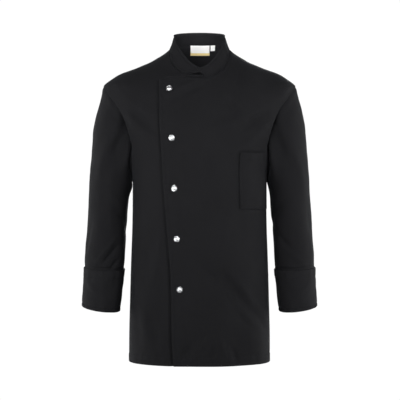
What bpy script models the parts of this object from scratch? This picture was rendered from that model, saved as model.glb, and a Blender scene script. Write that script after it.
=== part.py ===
"""Chef jacket in its worn, filled-out form: every cut and sewn piece is a closed cloth wall of its own.

Metres, +Z up. The front faces -Y and +X is the wearer's left. The origin is the middle of the neck's base,
level with the points where the shoulder seams meet the collar.
"""
import math
from collections import namedtuple

import bmesh
import bpy
import numpy as np
from mathutils import Vector

# ---- cloth and hardware sizes -------------------------------------------------------------------------
CLOTH = 0.0017            # one thickness of twill, with its turned seam allowance
COLLAR_CLOTH = 0.0022     # the collar is two layers and an interlining
CUFF_CLOTH = 0.0020       # the cuff is the sleeve turned up, so it is a doubled layer
SEAM = 0.00015            # half of the gap between two panels at their seam
JOIN = 0.0004             # gap between a panel's edge and the sleeve or collar set on it
LAP_LIFT = 0.0028         # how far the lapped front stands over the one under it
POCKET_GAP = 0.0003
POCKET_CLOTH = 0.0014

# ---- body ---------------------------------------------------------------------------------------------
NECK_HALF = 0.073         # middle to the point where collar, shoulder and neck meet
ARMPIT_Z = -0.318
TIP_Z = -0.089            # shoulder tip, where the sleeve's top is set in
UNDERLAP_X = 0.045        # how far the right front runs on under the left one
LIFT_END_X = 0.100        # the left front has come down to the common surface here
FLAP_DROOP = 0.004        # the lapped corner hangs a little lower than the throat

Girth = namedtuple("Girth", "z front back squareness")
GIRTHS = [
    Girth(-0.760, 0.145, 0.140, 2.90),
    Girth(-0.600, 0.143, 0.134, 2.90),
    Girth(-0.450, 0.140, 0.127, 2.80),
    Girth(-0.320, 0.140, 0.132, 2.60),
    Girth(-0.200, 0.133, 0.139, 2.50),
    Girth(-0.150, 0.121, 0.136, 2.45),
    Girth(-0.110, 0.105, 0.128, 2.40),
    Girth(-0.076, 0.085, 0.114, 2.30),
    Girth(-0.050, 0.066, 0.099, 2.25),
    Girth(-0.020, 0.051, 0.079, 2.20),
    Girth(0.000, 0.045, 0.068, 2.20),
    Girth(0.014, 0.045, 0.062, 2.20),
]

SideSeam = namedtuple("SideSeam", "z half_width")
SIDE_SEAM = [
    SideSeam(-0.760, 0.1713),
    SideSeam(-0.757, 0.1713),
    SideSeam(-0.700, 0.1713),
    SideSeam(-0.600, 0.1690),
    SideSeam(-0.510, 0.1665),
    SideSeam(-0.430, 0.1638),
    SideSeam(-0.360, 0.1630),
]
SHOULDER = [
    SideSeam(-0.0720, 0.2140),
    SideSeam(-0.0608, 0.1960),
    SideSeam(-0.0445, 0.1530),
    SideSeam(-0.0317, 0.1225),
    SideSeam(-0.0207, 0.1020),
    SideSeam(-0.0100, 0.0840),
    SideSeam(0.000, NECK_HALF),
]

Armhole = namedtuple("Armhole", "z front_x front_y back_x back_y")
ARMHOLE = [
    Armhole(ARMPIT_Z, 0.1635, 0.000, 0.1635, 0.000),
    Armhole(-0.2980, 0.1640, 0.034, 0.1670, 0.034),
    Armhole(-0.2765, 0.1645, 0.055, 0.1710, 0.055),
    Armhole(-0.2550, 0.1655, 0.067, 0.1750, 0.067),
    Armhole(-0.2340, 0.1672, 0.074, 0.1790, 0.074),
    Armhole(-0.2130, 0.1725, 0.078, 0.1830, 0.078),
    Armhole(-0.1920, 0.1790, 0.078, 0.1880, 0.079),
    Armhole(-0.1710, 0.1860, 0.076, 0.1940, 0.077),
    Armhole(-0.1500, 0.1955, 0.070, 0.2010, 0.071),
    Armhole(-0.1300, 0.2080, 0.060, 0.2100, 0.061),
    Armhole(-0.1110, 0.2205, 0.045, 0.2215, 0.046),
    Armhole(-0.0965, 0.2300, 0.026, 0.2305, 0.027),
    Armhole(TIP_Z, 0.2340, 0.000, 0.2340, 0.000),
]

Row = namedtuple("Row", "side_z front_z back_z")
ROWS = [Row(-0.757, -0.760, -0.760)]
ROWS += [Row(z, z, z) for z in (-0.720, -0.680, -0.640, -0.600, -0.560, -0.520, -0.480)]
ROWS += [Row(z, z, z) for z in (-0.448, -0.418, -0.388, -0.353, ARMPIT_Z, -0.298, -0.2765, -0.255)]
ROWS += [
    Row(-0.234, -0.236, -0.232),
    Row(-0.213, -0.218, -0.209),
    Row(-0.192, -0.202, -0.185),
    Row(-0.171, -0.188, -0.161),
    Row(-0.150, -0.176, -0.137),
    Row(-0.130, -0.166, -0.114),
    Row(-0.111, -0.157, -0.093),
    Row(-0.0965, -0.152, -0.078),
    Row(TIP_Z, -0.147, -0.069),
    Row(-0.0720, -0.138, -0.054),
    Row(-0.0608, -0.130, -0.042),
    Row(-0.0445, -0.117, -0.026),
    Row(-0.0317, -0.106, -0.014),
    Row(-0.0207, -0.096, -0.004),
    Row(-0.0100, -0.086, 0.005),
    Row(0.0000, -0.0756, 0.014),
]

FlapEdge = namedtuple("FlapEdge", "z x")
FLAP_EDGE = [
    FlapEdge(-0.760, -0.0605),
    FlapEdge(-0.703, -0.0645),
    FlapEdge(-0.596, -0.0660),
    FlapEdge(-0.521, -0.0690),
    FlapEdge(-0.406, -0.0790),
    FlapEdge(-0.274, -0.0875),
    FlapEdge(-0.207, -0.0925),
    FlapEdge(-0.0796, -0.0960),
]

Fold = namedtuple("Fold", "across up angle length width height")
FRONT_FOLDS = [
    Fold(0.070, -0.185, 24, 0.060, 0.016, 0.0035),
    Fold(0.085, -0.222, 20, 0.050, 0.014, -0.0030),
    Fold(0.070, -0.600, -50, 0.090, 0.020, -0.0040),
    Fold(0.105, -0.640, -58, 0.080, 0.018, 0.0035),
    Fold(-0.020, -0.690, 84, 0.075, 0.022, -0.0035),
    Fold(0.030, -0.480, 80, 0.080, 0.024, 0.0030),
    Fold(-0.120, -0.590, 86, 0.100, 0.020, 0.0035),
    Fold(-0.110, -0.200, -28, 0.050, 0.015, -0.0030),
    Fold(-0.050, -0.113, 40, 0.035, 0.010, -0.0025),
]
BACK_FOLDS = [
    Fold(-0.070, -0.200, -32, 0.070, 0.018, 0.0035),
    Fold(0.080, -0.215, 30, 0.065, 0.018, 0.0035),
    Fold(-0.085, -0.560, 84, 0.110, 0.022, -0.0040),
    Fold(0.010, -0.610, 88, 0.100, 0.024, 0.0040),
    Fold(0.095, -0.570, 97, 0.095, 0.020, -0.0040),
    Fold(0.000, -0.430, 3, 0.090, 0.018, -0.0030),
]

# ---- collar -------------------------------------------------------------------------------------------
COLLAR_TOP_HALF = 0.061
COLLAR_SIDE_TOP_Z = 0.037
COLLAR_FRONT_TOP_Z = -0.0487
COLLAR_BACK_TOP_Z = 0.0475
COLLAR_FRONT_Y = -0.080
COLLAR_BACK_Y = 0.053
COLLAR_V = 4.0 / 3.0      # above 1 the opening is a V with a soft tip, at 1 it would be an ellipse
COLLAR_SHIFT = 0.003      # the tip of the V lies a little towards the wearer's left
COLLAR_LEVELS = 4
UNDER_END_DEG = 24.0      # where the end beneath stops, past the middle

Tongue = namedtuple("Tongue", "degrees low high")
TONGUE = [
    Tongue(8.0, 0.30, 1.00),
    Tongue(0.0, 0.53, 1.00),
    Tongue(-8.0, 0.46, 0.80),
    Tongue(-16.0, 0.32, 0.57),
    Tongue(-25.0, 0.16, 0.35),
    Tongue(-34.0, 0.03, 0.12),
]
TONGUE_START_DEG = 15.0

# ---- sleeves and cuffs --------------------------------------------------------------------------------
SleeveRing = namedtuple("SleeveRing", "outer_x outer_z inner_x inner_z depth middle_y front_drop seam crease")
SLEEVE_RINGS = [
    SleeveRing(0.2340, -0.0890, 0.1635, -0.3180, 0.0790, 0.000, 0.000, 1.00, 0.000),
    SleeveRing(0.2385, -0.1040, 0.1655, -0.3215, 0.0795, 0.000, 0.000, 0.78, 0.004),
    SleeveRing(0.2430, -0.1220, 0.1668, -0.3255, 0.0800, 0.000, 0.000, 0.52, 0.007),
    SleeveRing(0.2502, -0.1500, 0.1680, -0.3310, 0.0790, 0.001, 0.000, 0.28, 0.007),
    SleeveRing(0.2567, -0.1820, 0.1690, -0.3370, 0.0775, 0.002, 0.000, 0.12, 0.004),
    SleeveRing(0.2618, -0.2220, 0.1705, -0.3460, 0.0750, 0.003, 0.000, 0.03, 0.001),
    SleeveRing(0.2654, -0.2700, 0.1728, -0.3620, 0.0730, 0.004, 0.000, 0.00, 0.000),
    SleeveRing(0.2686, -0.3200, 0.1748, -0.3850, 0.0710, 0.004, 0.000, 0.00, 0.000),
    SleeveRing(0.2712, -0.3680, 0.1771, -0.4150, 0.0690, 0.003, 0.001, 0.00, 0.000),
    SleeveRing(0.2738, -0.4150, 0.1792, -0.4470, 0.0665, 0.000, 0.002, 0.00, 0.000),
    SleeveRing(0.2762, -0.4600, 0.1812, -0.4780, 0.0640, -0.005, 0.003, 0.00, 0.000),
    SleeveRing(0.2784, -0.5000, 0.1828, -0.5080, 0.0605, -0.011, 0.004, 0.00, 0.000),
    SleeveRing(0.2790, -0.5260, 0.1840, -0.5310, 0.0565, -0.015, 0.005, 0.00, 0.000),
]
CREASE_FROM_DEG = 70.0    # the fold where sleeve meets body runs round the lower part of the armhole

CuffRing = namedtuple("CuffRing", "outer_x outer_z inner_x inner_z depth middle_y front_drop")
CUFF_RINGS = [
    CuffRing(0.2818, -0.5300, 0.1815, -0.5350, 0.0595, -0.015, 0.005),
    CuffRing(0.2836, -0.5700, 0.1860, -0.5760, 0.0585, -0.018, 0.006),
    CuffRing(0.2856, -0.6060, 0.1902, -0.6140, 0.0575, -0.019, 0.006),
    CuffRing(0.2860, -0.6230, 0.1932, -0.6355, 0.0560, -0.020, 0.006),
]
CUFF_GAP = 0.0006         # between the sleeve's end and the cuff turned up over it
SLEEVE_SHORT = 0.0020     # the sleeve stops this far inside the cuff's lower edge

# ---- press-studs and labels ---------------------------------------------------------------------------
SNAP_TOP = (-0.0724, -0.1004)      # x and z of the highest stud
SNAP_BOTTOM = (-0.0468, -0.5784)   # x and z of the lowest stud
SNAP_COUNT = 5
SNAP_RADIUS = 0.0068
SNAP_HEIGHT = 0.0032
SNAP_SIDES = 16
SNAP_GAP = 0.0004

LABEL_CLOTH = 0.0010
LABEL_GAP = 0.0010
Label = namedtuple("Label", "name x_from x_to z_low z_high cells colour")
LABELS = [
    Label("neck_label", -0.0229, 0.0256, -0.0065, 0.0138, 6, (0.86, 0.85, 0.83)),
    Label("size_tag", 0.0281, 0.0398, 0.0038, 0.0138, 3, (0.90, 0.90, 0.89)),
]

BLACK_TWILL = (0.016, 0.017, 0.019)
STEEL = (0.78, 0.78, 0.80)


# ---- small helpers ------------------------------------------------------------------------------------
def curve(stations, values, at):
    """The value at each place of a smooth curve through the stations, held level past both ends."""
    stations = np.asarray(stations, float)
    values = np.asarray(values, float)
    slopes = np.gradient(values, stations)
    place = np.clip(np.asarray(at, float), stations[0], stations[-1])
    index = np.clip(np.searchsorted(stations, place) - 1, 0, len(stations) - 2)
    step = stations[index + 1] - stations[index]
    u = (place - stations[index]) / step
    start = values[index] * (1 + 2 * u) * (1 - u) ** 2 + values[index + 1] * u ** 2 * (3 - 2 * u)
    return start + step * (slopes[index] * u * (1 - u) ** 2 - slopes[index + 1] * u ** 2 * (1 - u))


def smoothstep(low, high, value):
    u = np.clip((value - low) / (high - low), 0.0, 1.0)
    return u * u * (3 - 2 * u)


def unit(vectors):
    return vectors / np.maximum(np.linalg.norm(vectors, axis=-1, keepdims=True), 1e-12)


def relief(folds, across, up):
    """Height of the soft folds at each place: ridges are positive, troughs negative."""
    height = np.zeros_like(across)
    for fold in folds:
        turn = math.radians(fold.angle)
        along = (across - fold.across) * math.cos(turn) + (up - fold.up) * math.sin(turn)
        off = (up - fold.up) * math.cos(turn) - (across - fold.across) * math.sin(turn)
        height += fold.height * np.exp(-(off / fold.width) ** 2 - (along / fold.length) ** 2)
    return height


def material(name, colour, roughness, metallic=0.0):
    made = bpy.data.materials.new(name)
    made.use_nodes = True
    shader = made.node_tree.nodes["Principled BSDF"]
    shader.inputs["Base Color"].default_value = (*colour, 1.0)
    shader.inputs["Roughness"].default_value = roughness
    shader.inputs["Metallic"].default_value = metallic
    return made


def add_object(name, mesh, finish):
    piece = bpy.data.objects.new(name, mesh)
    bpy.data.collections["chef_jacket"].objects.link(piece)
    mesh.materials.append(finish)
    return piece


def cloth_wall(name, skin, inward, thickness, colour=BLACK_TWILL, closed=False):
    """A closed wall: rows of points on the outer skin, an inner skin one thickness in, and its rims."""
    rows, columns = skin.shape[:2]
    inside = skin + inward * thickness
    mesh_bm = bmesh.new()
    outer = [[mesh_bm.verts.new(point) for point in row] for row in skin]
    inner = [[mesh_bm.verts.new(point) for point in row] for row in inside]
    last = columns if closed else columns - 1
    for r in range(rows - 1):
        for c in range(last):
            n = (c + 1) % columns
            mesh_bm.faces.new((outer[r][c], outer[r][n], outer[r + 1][n], outer[r + 1][c]))
            mesh_bm.faces.new((inner[r][c], inner[r + 1][c], inner[r + 1][n], inner[r][n]))
    for c in range(last):
        n = (c + 1) % columns
        mesh_bm.faces.new((outer[0][n], outer[0][c], inner[0][c], inner[0][n]))
        mesh_bm.faces.new((outer[-1][c], outer[-1][n], inner[-1][n], inner[-1][c]))
    if not closed:
        for r in range(rows - 1):
            mesh_bm.faces.new((outer[r][0], outer[r + 1][0], inner[r + 1][0], inner[r][0]))
            mesh_bm.faces.new((outer[r + 1][-1], outer[r][-1], inner[r][-1], inner[r + 1][-1]))
    bmesh.ops.recalc_face_normals(mesh_bm, faces=mesh_bm.faces)
    mesh = bpy.data.meshes.new(name)
    mesh_bm.to_mesh(mesh)
    mesh_bm.free()
    mesh.shade_smooth()
    mesh.set_sharp_from_angle(angle=math.radians(50))
    return add_object(name, mesh, material(name, colour, 0.85))


# ---- the body's common surface ------------------------------------------------------------------------
FRONT = -1
BACK = 1


def depth(face, z):
    values = [g.front if face == FRONT else g.back for g in GIRTHS]
    return curve([g.z for g in GIRTHS], values, z)


def squareness(z):
    return curve([g.z for g in GIRTHS], [g.squareness for g in GIRTHS], z)


def width_stations(face):
    """Half widths of the body all the way up; in the armhole it is the width that the edge's depth implies."""
    stations = [(s.z, s.half_width) for s in SIDE_SEAM]
    for edge in ARMHOLE:
        x = edge.front_x if face == FRONT else edge.back_x
        y = edge.front_y if face == FRONT else edge.back_y
        power = float(squareness(edge.z))
        share = (y / float(depth(face, edge.z))) ** power
        stations.append((edge.z, x / (1 - share) ** (1 / power)))
    return stations + [(s.z, s.half_width) for s in SHOULDER]


WIDTHS = {face: width_stations(face) for face in (FRONT, BACK)}


def half_width(face, z):
    stations = WIDTHS[face]
    return curve([s[0] for s in stations], [s[1] for s in stations], z)


def body_points(face, x, z):
    """Points of the body's outer surface at the places x, z."""
    power = squareness(z)
    share = np.clip(np.abs(x) / half_width(face, z), 0.0, 1.0)
    y = face * depth(face, z) * (1 - share ** power) ** (1 / power)
    return np.stack([x, y, z], axis=-1)


def body_normals(face, points):
    """Outward directions of the body's surface, from the shape of its level sections."""
    x, y, z = points[..., 0], points[..., 1], points[..., 2]
    power = squareness(z)
    width = half_width(face, z)
    reach = depth(face, z)
    small = 0.0005
    width_slope = (half_width(face, z + small) - half_width(face, z - small)) / (2 * small)
    reach_slope = (depth(face, z + small) - depth(face, z - small)) / (2 * small)
    across = (np.abs(x) / width) ** power
    ahead = (np.abs(y) / reach) ** power
    normal_x = np.sign(x) * (np.abs(x) / width) ** (power - 1) / width
    normal_y = np.sign(y) * (np.abs(y) / reach) ** (power - 1) / reach
    normal_z = -across * width_slope / width - ahead * reach_slope / reach
    return unit(np.stack([normal_x, normal_y, normal_z], axis=-1))


def side_x(face, z):
    """Where a row ends: on the side seam, on the armhole or on the shoulder seam."""
    if ARMPIT_Z <= z <= TIP_Z:
        values = [a.front_x if face == FRONT else a.back_x for a in ARMHOLE]
        return float(curve([a.z for a in ARMHOLE], values, z))
    return float(half_width(face, z))


def roundness(row):
    """0 below the shoulder tip, rising to 1 at the neckline, whose front view is an ellipse."""
    return float(np.clip((row.side_z - TIP_Z) / -TIP_Z, 0.0, 1.0)) ** 2


def row_levels(face, row, x):
    """The height of a row over the places x: it rises or falls smoothly from the middle to the side."""
    spread = np.arcsin(np.clip(np.abs(x) / side_x(face, row.side_z), 0.0, 1.0)) / (math.pi / 2)
    flat_ends = 1 - (1 - spread ** 2) ** 3
    elliptic = 1 - np.cos(spread * math.pi / 2)
    blend = roundness(row)
    middle = row.front_z if face == FRONT else row.back_z
    return middle + (row.side_z - middle) * ((1 - blend) * flat_ends + blend * elliptic)


def flap_levels(row, x):
    """The lapped part of the left front keeps level, right across to its free edge."""
    return row.front_z - FLAP_DROOP * roundness(row) * (x / FLAP_EDGE[-1].x) ** 2


def evenly(points, count):
    """As many points as asked, evenly spaced along a finely sampled line."""
    steps = np.linalg.norm(np.diff(points, axis=0), axis=1)
    travel = np.concatenate([[0.0], np.cumsum(steps)])
    wanted = np.linspace(0.0, travel[-1], count)
    return np.stack([np.interp(wanted, travel, points[:, axis]) for axis in range(3)], axis=-1)


SAMPLES = 80
SIDE_CELLS = 7            # from the pocket's line to the side
LAST_CELL = 0.10          # the narrow strip between the pocket and the side seam
MIDDLE_CELLS = 11         # from the pocket's line to the lapped edge
UNDER_CELLS = 8           # from the mirrored pocket line to the edge underneath
BACK_CELLS = 18
POCKET_LINE = 0.096       # x of the pocket's inner edge


def split_x(row):
    return min(POCKET_LINE, 0.6 * side_x(FRONT, row.side_z))


def side_stretch(face, row):
    """Points from the pocket's line out to the side, the last cell a narrow one."""
    edge = side_x(face, row.side_z)
    start = math.asin(split_x(row) / edge)
    x = edge * np.sin(np.linspace(start, math.pi / 2, SAMPLES))
    fine = body_points(face, x, row_levels(face, row, x))
    wide = evenly(fine, SAMPLES)
    shares = np.append(np.linspace(0.0, 1 - LAST_CELL, SIDE_CELLS), 1.0)
    picks = shares * (SAMPLES - 1)
    return np.stack([np.interp(picks, np.arange(SAMPLES), wide[:, axis]) for axis in range(3)], axis=-1)


def lifted_left(row, points):
    """The left front stands over the right one, and comes down to the common surface past it."""
    edge = side_x(FRONT, row.side_z)
    start = min(UNDERLAP_X, 0.55 * edge)
    end = min(LIFT_END_X, 0.97 * edge)
    return LAP_LIFT * (1 - smoothstep(start, end, points[..., 0]))


def seam_fade(face, row, points):
    """Folds die away towards the side seams, armholes and neckline, so that seams stay shut."""
    edge = side_x(face, row.side_z)
    sideways = smoothstep(0.0, 0.030, edge - np.abs(points[..., 0]))
    return sideways * (1 - roundness(row))


def finish_row(face, row, points, folds, lift=0.0):
    """Moves a row's points out by the folds and the lap, and keeps the gap at its seams."""
    normals = body_normals(face, points)
    height = relief(folds, points[:, 0], points[:, 2]) * seam_fade(face, row, points) + lift
    moved = points + normals * height[:, None]
    moved[:, 1] += face * SEAM * (np.abs(points[:, 0]) > side_x(face, row.side_z) - 1e-6)
    return moved, -normals


def build_rows(row_maker):
    made = [row_maker(row) for row in ROWS]
    return np.array([m[0] for m in made]), np.array([m[1] for m in made])


def front_left_row(row):
    split = split_x(row)
    level = row.front_z - FLAP_DROOP * roundness(row)
    edge = float(curve([f.z for f in FLAP_EDGE], [f.x for f in FLAP_EDGE], level))
    x = np.linspace(edge, split, SAMPLES)
    z = np.where(x < 0, flap_levels(row, x), row_levels(FRONT, row, x))
    middle = evenly(body_points(FRONT, x, z), MIDDLE_CELLS + 1)
    points = np.concatenate([middle[:-1], side_stretch(FRONT, row)])
    return finish_row(FRONT, row, points, FRONT_FOLDS, lifted_left(row, points))


def front_right_row(row):
    split = split_x(row)
    x = np.linspace(-split, min(UNDERLAP_X, 0.55 * side_x(FRONT, row.side_z)), SAMPLES)
    middle = evenly(body_points(FRONT, x, row_levels(FRONT, row, x)), UNDER_CELLS + 1)
    side = side_stretch(FRONT, row)[::-1] * np.array([-1.0, 1.0, 1.0])
    points = np.concatenate([side[:-1], middle])
    return finish_row(FRONT, row, points, FRONT_FOLDS)


def back_row(row):
    edge = side_x(BACK, row.side_z)
    x = edge * np.sin(np.linspace(0.0, math.pi / 2, SAMPLES))
    half = evenly(body_points(BACK, x, row_levels(BACK, row, x)), BACK_CELLS // 2 + 1)
    points = np.concatenate([half[:0:-1] * np.array([-1.0, 1.0, 1.0]), half])
    return finish_row(BACK, row, points, BACK_FOLDS)


# ---- pocket, press-studs, labels ----------------------------------------------------------------------
POCKET_LOW_ROW = 10
POCKET_HIGH_ROW = 15


def chest_pocket(skin, inward):
    """The pocket is the left front's own points, moved out, from the pocket's line almost to the seam."""
    rows = slice(POCKET_LOW_ROW, POCKET_HIGH_ROW + 1)
    columns = slice(MIDDLE_CELLS, MIDDLE_CELLS + SIDE_CELLS)
    under = skin[rows, columns]
    direction = inward[rows, columns]
    cloth_wall("chest_pocket", under - direction * (POCKET_GAP + POCKET_CLOTH), direction, POCKET_CLOTH)


def press_stud(name, x, z):
    """A domed stud, turned about its own axis, lying flat on the lapped front."""
    bpy.ops.object.select_all(action="DESELECT")
    profile = bmesh.new()
    arc = [math.radians(angle) for angle in (90, 72, 54, 36, 18, 0)]
    line = [(SNAP_RADIUS * math.cos(a), SNAP_HEIGHT * (0.25 + 0.75 * math.sin(a))) for a in arc]
    line += [(SNAP_RADIUS, 0.0), (0.0, 0.0)]
    verts = [profile.verts.new((radius, 0.0, height)) for radius, height in line]
    for first, second in zip(verts, verts[1:]):
        profile.edges.new((first, second))
    mesh = bpy.data.meshes.new(name)
    profile.to_mesh(mesh)
    profile.free()
    stud = add_object(name, mesh, material(name, STEEL, 0.22, 1.0))
    turn = stud.modifiers.new("turn", "SCREW")
    turn.steps = SNAP_SIDES
    turn.render_steps = SNAP_SIDES
    turn.use_merge_vertices = True
    turn.merge_threshold = 0.00005
    turn.use_smooth_shade = True
    spot = body_points(FRONT, np.array([x]), np.array([z]))
    normal = body_normals(FRONT, spot)[0]
    lift = LAP_LIFT + SNAP_GAP + float(relief(FRONT_FOLDS, np.array([x]), np.array([z]))[0])
    stud.location = Vector(spot[0] + normal * lift)
    stud.rotation_mode = "QUATERNION"
    stud.rotation_quaternion = Vector(normal).to_track_quat("Z", "Y")
    return stud


def woven_label(label):
    """A label sewn inside the back of the neck, following the panel's inner side."""
    x = np.linspace(label.x_from, label.x_to, label.cells + 1)
    levels = np.linspace(label.z_low, label.z_high, 3)
    grid = np.array([body_points(BACK, x, np.full_like(x, z)) for z in levels])
    normals = body_normals(BACK, grid)
    skin = grid - normals * (CLOTH + LABEL_GAP)
    cloth_wall(label.name, skin, -normals, LABEL_CLOTH, label.colour)


# ---- collar -------------------------------------------------------------------------------------------
def collar_top(face, degrees):
    """The collar's upper edge over an angle of the neckline: 0 is the middle, 90 the side."""
    turn = math.radians(abs(degrees))
    sign = math.copysign(1.0, degrees)
    if face == BACK:
        top_z = COLLAR_SIDE_TOP_Z + (COLLAR_BACK_TOP_Z - COLLAR_SIDE_TOP_Z) * math.cos(turn)
        return np.array([sign * COLLAR_TOP_HALF * math.sin(turn), COLLAR_BACK_Y * math.cos(turn), top_z])
    drop = COLLAR_SIDE_TOP_Z - COLLAR_FRONT_TOP_Z
    cosine = max(math.cos(turn), 0.0)
    x = sign * COLLAR_TOP_HALF * math.sin(turn) ** COLLAR_V + COLLAR_SHIFT * cosine ** 2
    return np.array([x, COLLAR_FRONT_Y * cosine, COLLAR_SIDE_TOP_Z - drop * cosine ** COLLAR_V])


def neck_base(degrees):
    x = np.array([NECK_HALF * math.sin(math.radians(degrees))])
    z = np.array([ROWS[-1].front_z * math.cos(math.radians(degrees))])
    return body_points(FRONT, x, z)[0]


def neck_degrees(points):
    share = np.clip(points[:, 0] / NECK_HALF, -1.0, 1.0)
    return np.degrees(np.arcsin(share))


def collar_column(base, face, degrees, low=0.0, high=1.0):
    """Points from the neckline up to the collar's edge; low and high are shares of that height."""
    top = collar_top(face, degrees)
    start = base + unit(top - base) * JOIN
    return [start + (top - start) * (low + (high - low) * k / (COLLAR_LEVELS - 1)) for k in range(COLLAR_LEVELS)]


def collar(right_skin, back_skin, left_skin):
    """One band: its right end lies under, it runs round the back, and its left end crosses over."""
    columns = []
    under = right_skin[-1][::-1]
    for point, degrees in zip(under, neck_degrees(under)):
        if degrees > UNDER_END_DEG:
            continue
        past = max(degrees, 0.0) / UNDER_END_DEG
        columns.append((collar_column(point, FRONT, degrees, 0.0, 1.0 - 0.5 * past), 0.0))
    behind = back_skin[-1]
    for point, degrees in list(zip(behind, neck_degrees(behind)))[1:-1]:
        columns.append((collar_column(point, BACK, degrees), 0.0))
    over = left_skin[-1][::-1]
    for point, degrees in zip(over, neck_degrees(over)):
        if degrees < TONGUE_START_DEG:
            break
        top_lift = LAP_LIFT * (1 - smoothstep(30.0, 80.0, degrees))
        columns.append((collar_column(point, FRONT, degrees), top_lift))
    for station in TONGUE:
        base = neck_base(station.degrees)
        column = collar_column(base, FRONT, station.degrees, station.low, station.high)
        columns.append((column, LAP_LIFT))
    grid = np.array([column for column, _ in columns])
    along = np.gradient(grid, axis=0)
    upward = np.gradient(grid, axis=1)
    normals = unit(np.cross(along, upward))
    outward = np.sum(normals[..., :2] * grid[..., :2], axis=-1)
    normals *= np.sign(outward)[..., None]
    normals[:, 0, 2] = np.minimum(normals[:, 0, 2], 0.0)
    normals = unit(normals)
    share = np.linspace(0.0, 1.0, COLLAR_LEVELS)
    for index, (_, lift) in enumerate(columns):
        from_left = index >= len(columns) - len(TONGUE)
        lifts = np.full(COLLAR_LEVELS, lift) if from_left else lift * share
        grid[index] += normals[index] * lifts[:, None]
    cloth_wall("collar", grid, -normals, COLLAR_CLOTH)


# ---- sleeves ------------------------------------------------------------------------------------------
def armhole_loop(front_skin, front_normals, back_skin, back_normals):
    """The armhole's edge on the wearer's left, from the shoulder tip down the front and up the back."""
    low = next(i for i, row in enumerate(ROWS) if row.side_z == ARMPIT_Z)
    high = next(i for i, row in enumerate(ROWS) if row.side_z == TIP_Z)
    front = front_skin[low:high + 1, -1][::-1]
    back = back_skin[low:high + 1, -1]
    front_out = front_normals[low:high + 1, -1][::-1]
    back_out = back_normals[low:high + 1, -1]
    loop = np.concatenate([front, back[1:-1]])
    outward = np.concatenate([front_out, back_out[1:-1]])
    loop[0, 1] = 0.0
    loop[len(front) - 1, 1] = 0.0
    tangent = unit(np.roll(loop, -1, axis=0) - np.roll(loop, 1, axis=0))
    away = unit(np.cross(tangent, outward))
    if away[0, 0] < 0:
        away = -away
    return loop, away


def ring_points(ring, angles):
    """An oval ring between the sleeve's outer and inner lines; angle 0 is outer, 90 the front."""
    outer = np.array([ring.outer_x, ring.middle_y, ring.outer_z])
    inner = np.array([ring.inner_x, ring.middle_y, ring.inner_z])
    middle = (outer + inner) / 2
    half = (outer - inner) / 2
    forward = np.array([0.0, -ring.depth, -ring.front_drop])
    return middle + np.outer(np.cos(angles), half) + np.outer(np.sin(angles), forward)


def cuff_skin(count):
    angles = np.arange(count) * 2 * math.pi / count
    return np.array([ring_points(ring, angles) for ring in CUFF_RINGS])


def sleeve_skin(loop, away):
    half_count = len(loop) // 2
    angles = np.arange(len(loop)) * math.pi / half_count
    seat = loop + away * JOIN
    settle = seat - ring_points(SLEEVE_RINGS[0], angles)
    fold = np.clip((math.pi - np.abs(angles - math.pi) - math.radians(CREASE_FROM_DEG)) / math.radians(60), 0, 1)
    round_fold = np.sin(fold * math.pi) ** 2
    skin = []
    for ring in SLEEVE_RINGS:
        points = ring_points(ring, angles) + settle * ring.seam
        centre = points.mean(axis=0)
        points += unit(centre - points) * (ring.crease * round_fold)[:, None]
        skin.append(points)
    outside = cuff_skin(len(loop))
    covered = outside - tube_normals(outside) * (CUFF_CLOTH + CUFF_GAP)
    covered[-1] += unit(covered[-2] - covered[-1]) * SLEEVE_SHORT
    return np.concatenate([np.array(skin), covered])


def tube_normals(skin):
    around = np.roll(skin, -1, axis=1) - np.roll(skin, 1, axis=1)
    down = np.gradient(skin, axis=0)
    normals = unit(np.cross(around, down))
    centre = skin.mean(axis=1, keepdims=True)
    flip = np.sign(np.sum(normals * (skin - centre), axis=(1, 2)))
    return normals * flip[:, None, None]


def sleeve(name, skin, away, side):
    normals = tube_normals(skin)
    first = normals[0]
    toward = np.maximum(np.sum(first * away, axis=-1, keepdims=True), 0.0)
    normals[0] = unit(first - toward * away)
    mirror = np.array([side, 1.0, 1.0])
    cloth_wall(name, skin * mirror, -normals * mirror, CLOTH, closed=True)


def cuff(name, count, side):
    skin = cuff_skin(count)
    mirror = np.array([side, 1.0, 1.0])
    cloth_wall(name, skin * mirror, -tube_normals(skin) * mirror, CUFF_CLOTH, closed=True)


# ---- the jacket ---------------------------------------------------------------------------------------
def main():
    for old in list(bpy.data.objects):
        bpy.data.objects.remove(old, do_unlink=True)
    group = bpy.data.collections.new("chef_jacket")
    bpy.context.scene.collection.children.link(group)

    left_skin, left_inward = build_rows(front_left_row)
    right_skin, right_inward = build_rows(front_right_row)
    back_skin, back_inward = build_rows(back_row)
    cloth_wall("front_left", left_skin, left_inward, CLOTH)
    cloth_wall("front_right", right_skin, right_inward, CLOTH)
    cloth_wall("back", back_skin, back_inward, CLOTH)
    chest_pocket(left_skin, left_inward)
    collar(right_skin, back_skin, left_skin)

    loop, away = armhole_loop(left_skin, -left_inward, back_skin, -back_inward)
    skin = sleeve_skin(loop, away)
    for side, word in ((1.0, "left"), (-1.0, "right")):
        sleeve("sleeve_" + word, skin, away, side)
        cuff("cuff_" + word, len(loop), side)

    for index in range(SNAP_COUNT):
        share = index / (SNAP_COUNT - 1)
        x = SNAP_TOP[0] + (SNAP_BOTTOM[0] - SNAP_TOP[0]) * share
        z = SNAP_TOP[1] + (SNAP_BOTTOM[1] - SNAP_TOP[1]) * share
        press_stud("snap_%d" % (index + 1), x, z)
    for label in LABELS:
        woven_label(label)


main()
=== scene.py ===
"""Looks of the chef jacket: thin cloth shells on the solids' own forms, with creases, sewing and twill."""
import math
from collections import namedtuple

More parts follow.
